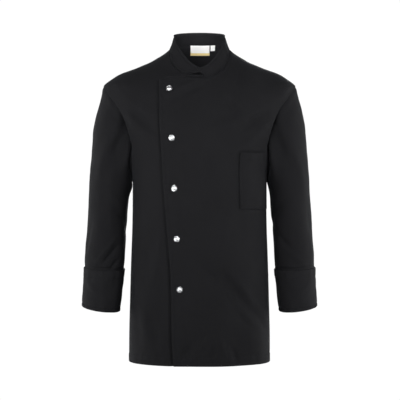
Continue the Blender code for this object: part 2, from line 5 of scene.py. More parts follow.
import bpy
import numpy as np
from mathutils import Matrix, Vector


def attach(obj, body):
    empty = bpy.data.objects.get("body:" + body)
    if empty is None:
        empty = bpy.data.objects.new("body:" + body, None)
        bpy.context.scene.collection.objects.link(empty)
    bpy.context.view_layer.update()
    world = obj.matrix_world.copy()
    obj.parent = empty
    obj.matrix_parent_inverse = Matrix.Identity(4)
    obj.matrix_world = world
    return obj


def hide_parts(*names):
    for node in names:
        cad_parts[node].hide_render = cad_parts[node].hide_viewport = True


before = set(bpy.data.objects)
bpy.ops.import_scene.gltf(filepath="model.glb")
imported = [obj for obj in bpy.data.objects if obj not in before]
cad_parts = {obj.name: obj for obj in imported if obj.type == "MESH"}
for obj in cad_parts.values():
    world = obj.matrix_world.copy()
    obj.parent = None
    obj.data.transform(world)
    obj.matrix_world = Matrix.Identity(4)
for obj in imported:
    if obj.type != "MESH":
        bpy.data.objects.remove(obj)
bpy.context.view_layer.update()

scene = bpy.context.scene

# ---- sizes in metres: the walls', and where the panels meet ----
CLOTH = 0.0017
COLLAR_CLOTH = 0.0022
CUFF_CLOTH = 0.0020
POCKET_CLOTH = 0.0014
LABEL_CLOTH = 0.0010
SEAM = -0.0005            # edges of neighbouring panels meet inside their seams
JOIN = -0.0011            # and so do a sleeve's or the collar's with the body's
LAP_LIFT = 0.0028         # the lapped front over the one under it
POCKET_GAP = 0.0003
LABEL_GAP = 0.0010
CUFF_GAP = 0.0006
SLEEVE_SHORT = 0.0020     # a sleeve ends this far inside its cuff's edge

NECK_HALF = 0.073
ARMPIT_Z = -0.318
TIP_Z = -0.089            # the shoulder's tip
UNDERLAP_X = 0.045
LIFT_END_X = 0.100
FLAP_DROOP = 0.004
POCKET_LINE = 0.096
POCKET_LOW_Z = -0.388
POCKET_HIGH_Z = -0.255
POCKET_END_SHARE = 0.90   # how much of the way to the side seam the pocket reaches
COLLAR_TOP_HALF = 0.061
COLLAR_SIDE_TOP_Z = 0.037
COLLAR_FRONT_TOP_Z = -0.0487
COLLAR_BACK_TOP_Z = 0.0475
COLLAR_FRONT_Y = -0.080
COLLAR_BACK_Y = 0.053
COLLAR_V = 4.0 / 3.0      # power of the open V in front
COLLAR_SHIFT = 0.003      # its point lies this far to the wearer's left
UNDER_END_DEG = 24.0      # where the collar's right end stops under the left one
CREASE_FROM_DEG = 70.0    # where round a sleeve, from its outer line, the solids' crease begins
CREASE_SPAN_DEG = 60.0
SLEEVE_RADIUS = 0.062
SNAP_TOP = (-0.0724, -0.1004)      # x and z of the highest stud
SNAP_BOTTOM = (-0.0468, -0.5784)
SNAP_COUNT = 5
SNAP_RADIUS = 0.0068
SNAP_HEIGHT = 0.0032
SNAP_RIM = 0.00075
SNAP_SIDES = 40

# ---- grid fineness, sewing and relief ----
CELL = 0.004              # wanted cell height below the armholes
SUB = 6                   # cells between two rows of the armhole and above
SIDE_PITCH = 0.0030
NEAR_EDGE = (0.0, 0.0003, 0.0008, 0.0015, 0.0025, 0.0038)
SAMPLES = 240
HEM_STITCH = 0.020
EDGE_STITCH = 0.006
ARMHOLE_STITCH = 0.0072
POCKET_STITCH = 0.0035
COLLAR_STITCH = 0.0055
CUFF_TOP_STITCH = 0.0200
CUFF_LOW_STITCH = 0.0070
STITCH = 0.0026
STITCH_GAP = 0.0010
THREAD = 0.00030
SEAM_DIP = 0.0010
SEAM_WIDTH = 0.0022
GROOVE = 1.6              # how much deeper the cloth folds in beside the armholes than the solids do
BROAD_HEIGHT = 0.0018
MIDDLE_HEIGHT = 0.0003
ARMHOLE_ROLL = 0.0062
CUFF_BULGE = 0.0020
CUFF_DIP = 0.0018
CREASE_REACH = 0.0125
ARMHOLE_CREASE = 0.0165   # the sleeves turn in steeply to a crease just outside the armhole seam
STEEP_U = 0.8             # how the weave is laid out where a panel turns away from the front or back
STEEP_V = 0.7
LEDGE_RISE = 0.0028
LEDGE_DIP = 0.0040
HOLLOW_Z = -0.0640        # the dark hollow under the collar's crossed end
HOLLOW_DEPTH = 0.0120
POCKET_DENT = 0.0036
POCKET_PRESS = 0.714      # share of the pocket's thickness that its stitches press in
POCKET_THINNING = 0.65    # and that it loses towards the side seam that catches it
POCKET_THINNEST = 0.0003
POCKET_BAG = 0.0020
POCKET_GAPE = 0.0014
TACK_DOWN = 0.012         # the bar tack across the pocket's top corner
TACK_ACROSS = 0.013
WORN_REACH = 0.0018       # how far the paleness of an edge reaches
RIM_REACH = 0.6           # how far a wall's rim is rounded, and how thick it stays, as shares of the wall
RIM_LEAST = 0.30
SHORT_EDGE = 0.55         # share of a row's side place that the underlap may reach

# ---- tables: millimetres, but for these columns ----
AS_WRITTEN = {"squareness", "angle", "degrees", "seam", "low", "high"}


def table(columns, *rows):
    """Rows with named columns, in metres, with angles, shares and powers as written."""
    kind = namedtuple("Line", columns)
    keep = [name in AS_WRITTEN for name in kind._fields]
    return [kind(*[v if as_is else v / 1000 for v, as_is in zip(row, keep)]) for row in rows]


GIRTHS = table("z front back squareness",
    (-760, 145, 140, 2.9), (-600, 143, 134, 2.9), (-450, 140, 127, 2.8), (-320, 140, 132, 2.6),
    (-200, 133, 139, 2.5), (-150, 121, 136, 2.45), (-110, 105, 128, 2.4), (-76, 85, 114, 2.3),
    (-50, 66, 99, 2.25), (-20, 51, 79, 2.2), (0, 45, 68, 2.2), (14, 45, 62, 2.2),
)
SIDE_SEAM = table("z half_width",
    (-760, 171.3), (-757, 171.3), (-700, 171.3), (-600, 169), (-510, 166.5), (-430, 163.8), (-360, 163),
)
SHOULDER = table("z half_width",
    (-72, 214), (-60.8, 196), (-44.5, 153), (-31.7, 122.5), (-20.7, 102), (-10, 84), (0, 73),
)
ARMHOLE = table("z front_x front_y back_x back_y",
    (-318, 163.5, 0, 163.5, 0), (-298, 164, 34, 167, 34), (-276.5, 164.5, 55, 171, 55),
    (-255, 165.5, 67, 175, 67), (-234, 167.2, 74, 179, 74), (-213, 172.5, 78, 183, 78),
    (-192, 179, 78, 188, 79), (-171, 186, 76, 194, 77), (-150, 195.5, 70, 201, 71),
    (-130, 208, 60, 210, 61), (-111, 220.5, 45, 221.5, 46), (-96.5, 230, 26, 230.5, 27),
    (-89, 234, 0, 234, 0),
)
# a panel's rows by their heights at the side and the middles; up to the pocket's top they run level
Row = namedtuple("Row", "side_z front_z back_z")
LEVELS = (-720, -680, -640, -600, -560, -520, -480, -448, -418, -388, -353, -318, -298, -276.5, -255)
ROWS = [Row(*line) for line in table("side_z front_z back_z",
    (-757, -760, -760), *((z, z, z) for z in LEVELS),
    (-234, -236, -232), (-213, -218, -209), (-192, -202, -185), (-171, -188, -161), (-150, -176, -137),
    (-130, -166, -114), (-111, -157, -93), (-96.5, -152, -78), (-89, -147, -69), (-72, -138, -54),
    (-60.8, -130, -42), (-44.5, -117, -26), (-31.7, -106, -14), (-20.7, -96, -4), (-10, -86, 5),
    (0, -75.6, 14),
)]
FLAP_EDGE = table("z x",
    (-760, -60.5), (-703, -64.5), (-596, -66), (-521, -69), (-406, -79), (-274, -87.5), (-207, -92.5),
    (-79.6, -96),
)
TONGUE = table("degrees low high",
    (-34, 0.03, 0.12), (-25, 0.16, 0.35), (-16, 0.32, 0.57), (-8, 0.46, 0.8), (0, 0.53, 1), (8, 0.3, 1),
    (15, 0, 1),
)
SLEEVE_RINGS = table("outer_x outer_z inner_x inner_z depth middle_y front_drop seam crease",
    (234, -89, 163.5, -318, 79, 0, 0, 1, 0), (238.5, -104, 165.5, -321.5, 79.5, 0, 0, 0.78, 4),
    (243, -122, 166.8, -325.5, 80, 0, 0, 0.52, 7), (250.2, -150, 168, -331, 79, 1, 0, 0.28, 7),
    (256.7, -182, 169, -337, 77.5, 2, 0, 0.12, 4), (261.8, -222, 170.5, -346, 75, 3, 0, 0.03, 1),
    (265.4, -270, 172.8, -362, 73, 4, 0, 0, 0), (268.6, -320, 174.8, -385, 71, 4, 0, 0, 0),
    (271.2, -368, 177.1, -415, 69, 3, 1, 0, 0), (273.8, -415, 179.2, -447, 66.5, 0, 2, 0, 0),
    (276.2, -460, 181.2, -478, 64, -5, 3, 0, 0), (278.4, -500, 182.8, -508, 60.5, -11, 4, 0, 0),
    (279, -526, 184, -531, 56.5, -15, 5, 0, 0),
)
CUFF_RINGS = table("outer_x outer_z inner_x inner_z depth middle_y front_drop",
    (281.8, -530, 181.5, -535, 59.5, -15, 5), (283.6, -570, 186, -576, 58.5, -18, 6),
    (285.6, -606, 190.2, -614, 57.5, -19, 6), (286, -623, 193.2, -635.5, 56, -20, 6),
)
LABELS = table("x_from x_to z_low z_high",
    (-22.9, 25.6, -6.5, 16), (28.1, 39.8, 3.8, 16),
)

def folds(*rows, place="across up"):
    """Soft folds, each by its middle, which on a sleeve is an angle round it and a height."""
    return table(place + " angle length width height", *rows)


# the solids' own folds, then the finer creases of the cloth
FRONT_FOLDS = folds(
    (70, -185, 24, 60, 16, 3.5), (85, -222, 20, 50, 14, -3), (70, -600, -50, 90, 20, -4),
    (105, -640, -58, 80, 18, 3.5), (-20, -690, 84, 75, 22, -3.5), (30, -480, 80, 80, 24, 3),
    (-120, -590, 86, 100, 20, 3.5), (-110, -200, -28, 50, 15, -3), (-50, -113, 40, 35, 10, -2.5),
)
BACK_FOLDS = folds(
    (-70, -200, -32, 70, 18, 3.5), (80, -215, 30, 65, 18, 3.5), (-85, -560, 84, 110, 22, -4),
    (10, -610, 88, 100, 24, 4), (95, -570, 97, 95, 20, -4), (0, -430, 3, 90, 18, -3),
)
FRONT_CREASES = folds(
    (130, -176, 38, 45, 10, -5.4), (154, -192, 42, 40, 9, 5.4), (132, -226, 34, 32, 9, 3),
    (-156, -180, -48, 26, 9, 4.9), (-134, -176, -46, 32, 9.5, -3.8), (-120, -208, -38, 32, 11, 2.4),
    (-24, -89, 26, 24, 6, 3.5), (-18, -106, 28, 26, 7, -4.1), (94, -78, 107, 20, 8, -3.2),
    (76, -140, -51, 24, 9, -3.2), (94, -136, -50, 22, 9, 2.7), (83, -580, -54, 65, 12, -6.2),
    (122, -607, -56, 55, 10, 5.7), (142, -645, -60, 40, 8.5, -4.1), (60, -612, -50, 32, 10, 3),
    (104, -652, -50, 36, 9.5, -4.1), (30, -545, -40, 40, 11, -2.7), (-94, -478, 88, 30, 8, 3.2),
    (-122, -520, 84, 60, 12, -3), (-130, -655, 94, 55, 11, 3.2), (-104, -690, 98, 40, 10, -2.7),
    (-34, -728, 62, 20, 6, -4), (-16, -736, 70, 22, 6, 3.6), (8, -708, 56, 18, 5.5, 3.4),
    (30, -728, 76, 22, 6, -4), (56, -716, 100, 20, 5.5, 3.4), (84, -734, 110, 20, 6, -3.4),
    (24, -340, 84, 80, 14, 1.9), (-38, -400, 98, 70, 13, -1.9), (60, -440, 76, 60, 13, 1.9),
)
BACK_CREASES = folds(
    (-148, -214, -46, 36, 9, 4.6), (-124, -236, -44, 44, 10, -4.9), (-104, -282, -52, 48, 10, 3.5),
    (150, -222, 44, 38, 9, 4.6), (126, -250, 46, 44, 10, -4.9), (100, -300, 54, 50, 10, 3.5),
    (10, -105, 5, 60, 11, 2.7), (-20, -135, -4, 50, 11, -2.4), (-34, -470, 70, 50, 11, -3.8),
    (46, -505, 106, 56, 11, 3.5), (-110, -600, 82, 60, 12, 4.1), (124, -630, 98, 55, 11, -3.8),
    (-50, -700, 88, 45, 10, 3.2), (66, -706, 94, 42, 9.5, -3), (20, -384, -6, 70, 11, 3),
    (-60, -360, 8, 50, 10, -2.4),
)
SLEEVE_FOLDS = {
    "left": folds(
        (172, -325, 90, 20, 30, 1.2), (142, -430, 90, 70, 16, 2.4), (120, -470, 40, 40, 8, -3.8),
        (100, -495, 34, 36, 8, 3.1), (140, -392, -34, 38, 9, -2.7), (122, -362, -30, 44, 10, 2.5),
        (60, -300, 74, 80, 13, 2.1), (95, -250, 82, 70, 12, -2.1), (28, -430, 80, 60, 11, -1.8),
        (215, -405, 30, 50, 9, -3), (240, -360, 26, 46, 10, 2.7), (300, -250, 84, 80, 13, 2.3),
        (265, -480, 60, 40, 9, -2.3), (330, -400, 96, 70, 12, -1.8),
        place="degrees z"),
    "right": folds(
        (172, -330, 90, 20, 30, 4.8), (142, -460, 90, 110, 16, 3.6), (107, -500, 42, 30, 5, -5.4),
        (98, -486, 44, 32, 6, 3.7), (120, -524, 42, 18, 4.5, -4.6), (140, -410, -30, 36, 8.5, -2.5),
        (118, -370, -34, 44, 10, 2.4), (64, -280, 78, 80, 13, 1.9), (92, -240, 86, 70, 12, -2.1),
        (34, -450, 76, 55, 11, -1.8), (218, -420, 34, 50, 9, -2.9), (244, -380, 28, 46, 10, 2.7),
        (296, -270, 80, 80, 13, 2.3), (325, -420, 92, 70, 12, -1.8),
        place="degrees z"),
}
CUFF_FOLDS = {
    "left": folds(
        (40, -592, -30, 34, 7.5, -1.8), (142, -585, 90, 60, 16, 1.4), (62, -574, -32, 34, 7.5, 1.6),
        (110, -590, 62, 24, 7, -0.8), (250, -585, 40, 34, 8, -1.1), (300, -595, -50, 30, 8, 1),
        place="degrees z"),
    "right": folds(
        (46, -587, -28, 36, 7, -2.2), (142, -585, 90, 60, 16, 3.2), (60, -574, -30, 36, 7, 1.9),
        (105, -596, -40, 26, 6.5, -0.9), (235, -590, 44, 34, 8, -1.1), (290, -590, -48, 30, 8, 1),
        place="degrees z"),
}


# ---- small helpers ----
def curve(stations, values, at):
    """The value at each place of a smooth curve through the stations, held level past both ends."""
    stations = np.asarray(stations, float)
    values = np.asarray(values, float)
    slopes = np.gradient(values, stations)
    place = np.clip(np.asarray(at, float), stations[0], stations[-1])
    index = np.clip(np.searchsorted(stations, place) - 1, 0, len(stations) - 2)
    step = stations[index + 1] - stations[index]
    u = (place - stations[index]) / step
    start = values[index] * (1 + 2 * u) * (1 - u) ** 2 + values[index + 1] * u ** 2 * (3 - 2 * u)
    return start + step * (slopes[index] * u * (1 - u) ** 2 - slopes[index + 1] * u ** 2 * (1 - u))


def column(rows, name, at, by="z"):
    """A table's column at places along another of its columns."""
    return curve([getattr(row, by) for row in rows], [getattr(row, name) for row in rows], at)


def smoothstep(low, high, value):
    u = np.clip((value - low) / (high - low), 0.0, 1.0)
    return u * u * (3 - 2 * u)


def bump(value, centre, width):
    return np.exp(-((value - centre) / width) ** 2)


def unit(vectors):
    return vectors / np.maximum(np.linalg.norm(vectors, axis=-1, keepdims=True), 1e-12)


def least(*distances):
    return np.minimum.reduce(distances)


def ridge(fold, across, up):
    """Height of one soft fold at places from its middle: a ridge is positive, a trough negative."""
    turn = math.radians(fold.angle)
    along = across * math.cos(turn) + up * math.sin(turn)
    off = up * math.cos(turn) - across * math.sin(turn)
    return fold.height * np.exp(-(off / fold.width) ** 2 - (along / fold.length) ** 2)


def relief(folds, x, z):
    return sum(ridge(fold, x - fold.across, z - fold.up) for fold in folds)


def tube_relief(folds, angles, z):
    """The same on a sleeve, where a fold is placed by its angle round it."""
    gaps = [(np.degrees(angles) - fold.degrees + 180.0) % 360.0 - 180.0 for fold in folds]
    return sum(ridge(fold, np.radians(gap) * SLEEVE_RADIUS, z - fold.z) for fold, gap in zip(folds, gaps))


def waves(seed, count, longest, shortest):
    """Fixed directions, lengths and phases of the waves that make cloth a little uneven."""
    rng = np.random.default_rng(seed)
    turn = rng.uniform(0, math.pi, count)
    pitch = 2 * math.pi / rng.uniform(shortest, longest, count)
    return np.cos(turn) * pitch, np.sin(turn) * pitch, rng.uniform(0, 2 * math.pi, count)


def uneven(pattern, a, b):
    """About -1 to 1, smooth, from place a, b."""
    total = np.zeros_like(a)
    for step_a, step_b, phase in zip(*pattern):
        total += np.sin(a * step_a + b * step_b + phase)
    return total / math.sqrt(len(pattern[0]))


BROAD = waves(3, 9, 0.150, 0.070)
MIDDLE = waves(5, 12, 0.050, 0.024)
PUCKER = waves(7, 7, 0.022, 0.011)


def arcs(grid, axis):
    """Distance along each row or column from its first point."""
    steps = np.linalg.norm(np.diff(grid, axis=axis), axis=-1)
    start = np.zeros_like(np.take(steps, [0], axis=axis))
    return np.concatenate([start, np.cumsum(steps, axis=axis)], axis=axis)


def seam_lines(grid):
    """Distances from the four borders: first column, last column, first row, last row."""
    across = arcs(grid, 1)
    up = arcs(grid, 0)
    return across, across[:, -1:] - across, up, up[-1:] - up


def at_lengths(wanted, travel, points):
    return np.stack([np.interp(wanted, travel, points[:, axis]) for axis in range(3)], axis=-1)


def resample(points, shares):
    """Points at the given shares of a finely sampled line's length."""
    travel = arcs(points[None], 1)[0]
    return at_lengths(np.asarray(shares) * travel[-1], travel, points)


def shares_for(length):
    """Shares of a length with narrow cells near its ends and even ones between."""
    near = list(NEAR_EDGE)
    end = [length - d for d in reversed(near)]
    count = max(int(round((end[0] - near[-1]) / SIDE_PITCH)), 2)
    middle = list(np.linspace(near[-1], end[0], count + 1))[1:-1]
    return np.array(near + middle + end) / length


def places_between(low, high):
    """Places from low to high that lie close together near both."""
    return low + shares_for(high - low) * (high - low)


def grid_normals(grid, outward):
    normals = unit(np.cross(np.gradient(grid, axis=1), np.gradient(grid, axis=0)))
    return normals * np.where(np.sum(normals * outward, axis=-1, keepdims=True) < 0, -1.0, 1.0)


# ---- materials ----
def fill(tree, made, sockets):
    """Puts numbers, colours or other nodes' sockets into a node's inputs."""
    for name, value in sockets.items():
        if isinstance(value, bpy.types.NodeSocket):
            tree.links.new(value, made.inputs[name])
        else:
            made.inputs[name].default_value = value


def node(tree, kind, sockets, **values):
    made = tree.nodes.new("ShaderNode" + kind)
    for name, value in values.items():
        setattr(made, name, value)
    fill(tree, made, sockets)
    return made


def maths(tree, operation, first, second):
    return node(tree, "Math", {0: first, 1: second}, operation=operation).outputs[0]


def blend(tree, *parts):
    """The sum of sockets, each with its weight."""
    total = maths(tree, "MULTIPLY", *parts[0])
    for part in parts[1:]:
        total = maths(tree, "ADD", total, maths(tree, "MULTIPLY", *part))
    return total


def plus(tree, value, weight, start):
    return maths(tree, "ADD", maths(tree, "MULTIPLY", value, weight), start)


def wave(tree, place, pitch):
    return maths(tree, "SINE", maths(tree, "MULTIPLY", place, 2 * math.pi / pitch), 0.0)


def noise(tree, place, scale, detail):
    return node(tree, "TexNoise", {"Vector": place, "Scale": scale, "Detail": detail}).outputs[0]


def painted(tree, name):
    return node(tree, "Attribute", {}, attribute_name=name).outputs["Fac"]


def mixed(tree, share, first, second):
    return node(tree, "Mix", {"Factor": share, "A": first, "B": second}, data_type="RGBA").outputs["Result"]


def raised(tree, height, strength, distance):
    """The normal of relief too fine to model."""
    return node(tree, "Bump", {"Height": height, "Strength": strength, "Distance": distance}).outputs[0]


def ramp(tree, place, *stops, **settings):
    """A colour ramp through (position, colour) stops."""
    made = node(tree, "ValToRGB", {0: place})
    for name, value in settings.items():
        setattr(made.color_ramp, name, value)
    marks = made.color_ramp.elements
    for mark, (position, colour) in zip(marks, (stops[0], stops[-1])):
        mark.position = position
        mark.color = (*colour, 1.0)
    for position, colour in stops[1:-1]:
        marks.new(position).color = (*colour, 1.0)
    return made.outputs[0]


def material(name):
    made = bpy.data.materials.new(name)
    made.use_nodes = True
    return made, made.node_tree, made.node_tree.nodes["Principled BSDF"]


def on_cloth(tree):
    """The place on the flat cloth, then its two parts."""
    cloth = node(tree, "UVMap", {}, uv_map="weave").outputs[0]
    return cloth, *node(tree, "SeparateXYZ", {0: cloth}).outputs[:2]


PALEST_WEAR_AND_PAINTED_LIGHT = 2.4                # the palest cloth, against the light ribs: reached a little by worn edges, and mostly by the painted light inside the neck and on the cuffs
# painted light: how much paler the inner side of the collar and of the back by the neck are painted, standing
# in for light that the shaded neck opening lacks
NECK_PAINTED_LIGHT = 4.0
# painted light: how much paler the cuffs are painted all over, standing in for light on their shaded inner
# sides
CUFF_PAINTED_LIGHT = 1.2


def twill(name, dark, light, rib=0.0011, roughness=0.82, sheen=0.02):
    """Black twill: slanting ribs over fine yarn, a slow drift of tone, paler worn edges and seams, and painted
    light: paler cloth inside the neck and on the cuffs.
    """
    made, tree, shader = material(name)
    cloth, across, along = on_cloth(tree)
    ribs = wave(tree, blend(tree, (across, 0.9), (along, 0.55)), rib)
    yarn = wave(tree, along, rib * 0.62)
    fibre = noise(tree, cloth, 1600.0, 2.0)
    drift = noise(tree, cloth, 9.0, 4.0)
    stretched = node(tree, "Mapping", {0: cloth, "Scale": (420.0, 26.0, 1.0)}).outputs[0]
    streak = noise(tree, stretched, 1.0, 3.0)
    # the painted paleness: worn edges, and painted light inside the neck and on the cuffs
    tone = blend(tree, (drift, 0.5), (streak, 0.35), (ribs, 0.06), (painted(tree, "wear_and_painted_light"), 0.25))
    tone = maths(tree, "MULTIPLY", tone, 0.5)
    height = blend(tree, (ribs, 0.5), (yarn, 0.22), (fibre, 0.5))
    fill(tree, shader, {
        "Base Color": ramp(tree, tone, (0.075, dark), (0.475, light), (1.0, [PALEST_WEAR_AND_PAINTED_LIGHT * part for part in light])),
        "Roughness": plus(tree, fibre, 0.16, roughness - 0.08),
        "Normal": raised(tree, height, 0.7, 0.00012),
        "Sheen Weight": sheen,
        "Sheen Roughness": 0.38,
        "Sheen Tint": (0.82, 0.88, 1.0, 1.0),
        "Specular IOR Level": 0.08,
    })
    return made


def metal(name):
    """Bright plated steel with soft handling scuffs, and painted shade: near black where the groove mark is
    painted, in the ring between a stud's rim and dome.
    """
    made, tree, shader = material(name)
    scuff = noise(tree, node(tree, "TexCoord", {}).outputs["Object"], 900.0, 5.0)
    colour = ramp(tree, scuff, (0.0, (0.66, 0.67, 0.69)), (1.0, (0.86, 0.87, 0.88)))
    fill(tree, shader, {
        # painted shade: near black where the groove mark is painted
        "Base Color": mixed(tree, painted(tree, "groove"), colour, (0.035, 0.036, 0.040, 1.0)),
        "Roughness": plus(tree, scuff, 0.16, 0.10),
        "Normal": raised(tree, scuff, 0.15, 0.00005),
        "Metallic": 1.0,
    })
    return made


def ribbon(name, plain, stripe, stripe_share):
    """Woven satin ribbon: fine cross threads, and a plain coloured band along its lower edge."""
    made, tree, shader = material(name)
    across, along = on_cloth(tree)[1:]
    weave = maths(tree, "MULTIPLY", wave(tree, across, 0.0007), wave(tree, along, 0.0005))
    band = maths(tree, "LESS_THAN", painted(tree, "band"), stripe_share)
    shade = {"Color": mixed(tree, band, (*plain, 1.0), (*stripe, 1.0)), "Value": plus(tree, weave, 0.03, 0.97)}
    fill(tree, shader, {
        "Base Color": node(tree, "HueSaturation", shade).outputs[0],
        "Normal": raised(tree, weave, 0.4, 0.00008),
        "Roughness": 0.55,
        "Sheen Weight": 0.25,
    })
    return made


BLACK = twill("black_twill", (0.0045, 0.0045, 0.0052), (0.0076, 0.0076, 0.0086))
BLACK_THREAD = twill("black_thread", (0.006, 0.006, 0.007), (0.010, 0.010, 0.012), 0.0004, 0.7, 0.0)
STEEL = metal("plated_steel")
WHITE = ribbon("white_ribbon", (0.97, 0.965, 0.955), (0.97, 0.77, 0.34), 0.26)
PLAIN = ribbon("plain_ribbon", (0.93, 0.93, 0.92), (0.93, 0.93, 0.92), 0.0)


# ---- making pieces ----
SEWN = []


def paint(mesh, name, values):
    layer = mesh.attributes.new(name=name, type="FLOAT", domain="POINT")
    layer.data.foreach_set("value", np.asarray(values, dtype=np.float32))


def new_mesh(name, verts, faces, finish):
    mesh = bpy.data.meshes.new(name)
    mesh.from_pydata(verts, [], faces)
    mesh.materials.append(finish)
    return mesh


def in_scene(name, data):
    made = bpy.data.objects.new(name, data)
    scene.collection.objects.link(made)
    return made


def add_piece(name, verts, faces, finish=BLACK, slot="black_twill", spot=(0.0, 0.0, 0.0)):
    mesh = new_mesh(name, verts, faces, finish)
    mesh.shade_smooth()
    piece = in_scene(name, mesh)
    piece.location = spot
    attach(piece, "root")
    return mesh


def strip_faces(first, second):
    """Quads between two lines of vertex numbers."""
    return np.stack([first[:-1], first[1:], second[1:], second[:-1]], axis=-1)


def shell(name, skin, normals, thickness, wear_and_painted_light, closed=False, weave=None, band=None, inside=None, **looks):
    """A closed wall with soft, rounded rims from its outer skin; its two paleness arguments give how pale its
    outer and inner sides are, from wear and from painted light.
    """
    rows, columns = skin.shape[:2]
    thickness = np.broadcast_to(thickness, (rows, columns))
    first, last, down, up = seam_lines(skin)
    distance = least(down, up) if closed else least(down, up, first, last)
    share = np.clip(distance / (RIM_REACH * thickness), 0.0, 1.0)
    half = (np.maximum(np.sqrt(1 - (1 - share) ** 2), RIM_LEAST) * thickness / 2)[..., None]
    middle = skin - normals * (thickness / 2)[..., None]
    verts = np.concatenate([(middle + normals * half).reshape(-1, 3), (middle - normals * half).reshape(-1, 3)])
    numbers = np.arange(rows * columns).reshape(rows, columns)
    if closed:
        numbers = np.concatenate([numbers, numbers[:, :1]], axis=1)
        skin = np.concatenate([skin, skin[:, :1]], axis=1)
    wide = numbers.shape[1]
    inner = rows * wide
    spots = np.arange(inner).reshape(rows, wide)
    quads = strip_faces(spots[:, :-1], spots[:, 1:])[..., [0, 3, 2, 1]].reshape(-1, 4)
    faces = [quads, quads[:, ::-1] + inner]
    faces += [strip_faces(spots[0] + inner, spots[0]), strip_faces(spots[-1], spots[-1] + inner)]
    if not closed:
        left, right = spots[:, 0], spots[:, -1]
        faces += [strip_faces(left, left + inner), strip_faces(right + inner, right)]
    faces = np.concatenate(faces)
    lookup = np.concatenate([numbers.ravel(), numbers.ravel() + rows * columns])
    sample = lookup[faces[len(quads) // 2]]
    facing = np.cross(verts[sample[1]] - verts[sample[0]], verts[sample[2]] - verts[sample[1]])
    if np.dot(facing, normals.reshape(-1, 3)[sample[0]]) < 0:
        faces = faces[:, ::-1]
    mesh = add_piece(name, verts.tolist(), lookup[faces].tolist(), **looks)
    if weave is None:
        over = arcs(skin, 1)
        start = 0.0 if closed else over[:, columns // 2][:, None]
        weave = np.stack([over - start, arcs(skin, 0)], axis=-1)
    flat = weave.reshape(-1, 2)[faces % inner]
    if closed:
        beyond = (faces % wide).min(axis=1) > wide // 2
        flat[..., 0] -= beyond[:, None] * weave[:, -1, 0][faces % inner // wide]
    layer = mesh.uv_layers.new(name="weave")
    layer.data.foreach_set("uv", flat.astype(np.float32).ravel())
    # each side's paleness: wear, plus painted light where a piece is given it
    paint(mesh, "wear_and_painted_light", np.concatenate([wear_and_painted_light.ravel(), (wear_and_painted_light if inside is None else inside).ravel()]))
    if band is not None:
        paint(mesh, "band", np.tile(band.ravel(), 2))


START, END, LOW, HIGH = "start", "end", "low", "high"      # a grid's borders: two columns, then two rows


def line_at(grid, distance, border):
    """The line at a distance from one border of a grid."""
    lines = grid if border in (START, END) else np.swapaxes(grid, 0, 1)
    if border in (END, HIGH):
        lines = lines[:, ::-1]
    return np.array([at_lengths(distance, travel, line) for travel, line in zip(arcs(lines, 1), lines)])


def sew(surface, *seams, rows=slice(None), cut=1.0):
    """Notes lines of stitches, each by distance and border; cut is the share of a line that they run along."""
    grid, normals = (part[rows] for part in surface)
    for distance, border in seams:
        line = line_at(grid, distance, border)
        facing = unit(line_at(normals * 0.01 + grid, distance, border) - line)
        high = int(math.ceil(len(line) * cut))
        SEWN.append((line[:high], facing[:high]))


def stitches(name):
    """Every stitch: a short thread with rounded ends, half sunk in the cloth."""
    sections = ((-0.5, 0.35), (-0.32, 0.92), (0.0, 1.0), (0.32, 0.92), (0.5, 0.35))
    sides = 6
    around = range(sides)
    verts = []
    faces = []
    for points, normals in SEWN:
        travel = arcs(points[None], 1)[0]
        for index in range(int(travel[-1] / (STITCH + STITCH_GAP))):
            middle = (index + 0.5) * (STITCH + STITCH_GAP)
            near = [at_lengths(middle + d, travel, points) for d in (-0.0004, 0.0004)]
            along = unit(near[1] - near[0])
            up = unit(at_lengths(middle, travel, normals))
            side = unit(np.cross(along, up))
            base = len(verts)
            for place, size in sections:
                spot = (near[0] + near[1]) / 2 + along * place * STITCH
                for k in around:
                    turn = 2 * math.pi * k / sides
                    lift = up * THREAD * size * (0.55 + math.sin(turn))
                    verts.append(spot + lift + side * THREAD * size * math.cos(turn) * 1.2)
            for low in range(base, base + (len(sections) - 1) * sides, sides):
                ends = [(k, (k + 1) % sides) for k in around]
                faces += [(low + k, low + sides + k, low + sides + n, low + n) for k, n in ends]
            faces.append(tuple(base + k for k in around))
            faces.append(tuple(base + (len(sections) - 1) * sides + k for k in reversed(around)))
    add_piece(name, verts, faces, BLACK_THREAD)


# ---- the body's common surface ----
FRONT = -1
BACK = 1
FACE = {FRONT: "front", BACK: "back"}


def depth(face, z):
    return column(GIRTHS, FACE[face], z)


def squareness(z):
    return column(GIRTHS, "squareness", z)


def width_stations(face):
    """Heights and half widths of a face, with the armhole's points carried out to the full curve."""
    stations = [(s.z, s.half_width) for s in SIDE_SEAM]
    for edge in ARMHOLE:
        x, y = (getattr(edge, FACE[face] + axis) for axis in ("_x", "_y"))
        power = float(squareness(edge.z))
        share = (y / float(depth(face, edge.z))) ** power
        stations.append((edge.z, x / (1 - share) ** (1 / power)))
    return np.array(stations + [(s.z, s.half_width) for s in SHOULDER])


WIDTHS = {face: width_stations(face) for face in FACE}


def half_width(face, z):
    return curve(*WIDTHS[face].T, z)


def body_points(face, x, z):
    power = squareness(z)
    share = np.clip(np.abs(x) / half_width(face, z), 0.0, 1.0)
    y = face * depth(face, z) * (1 - share ** power) ** (1 / power)
    return np.stack([x, y, z], axis=-1)


def body_normals(face, points):
    x, y, z = np.moveaxis(points, -1, 0)
    power = squareness(z)
    slope_z = 0.0
    parts = []
    for place, reach in ((x, half_width), (y, depth)):
        size = reach(face, z)
        slope = (reach(face, z + 0.0005) - reach(face, z - 0.0005)) / 0.001
        parts.append(np.sign(place) * (np.abs(place) / size) ** (power - 1) / size)
        slope_z = slope_z - (np.abs(place) / size) ** power * slope / size
    return unit(np.stack([*parts, slope_z], axis=-1))


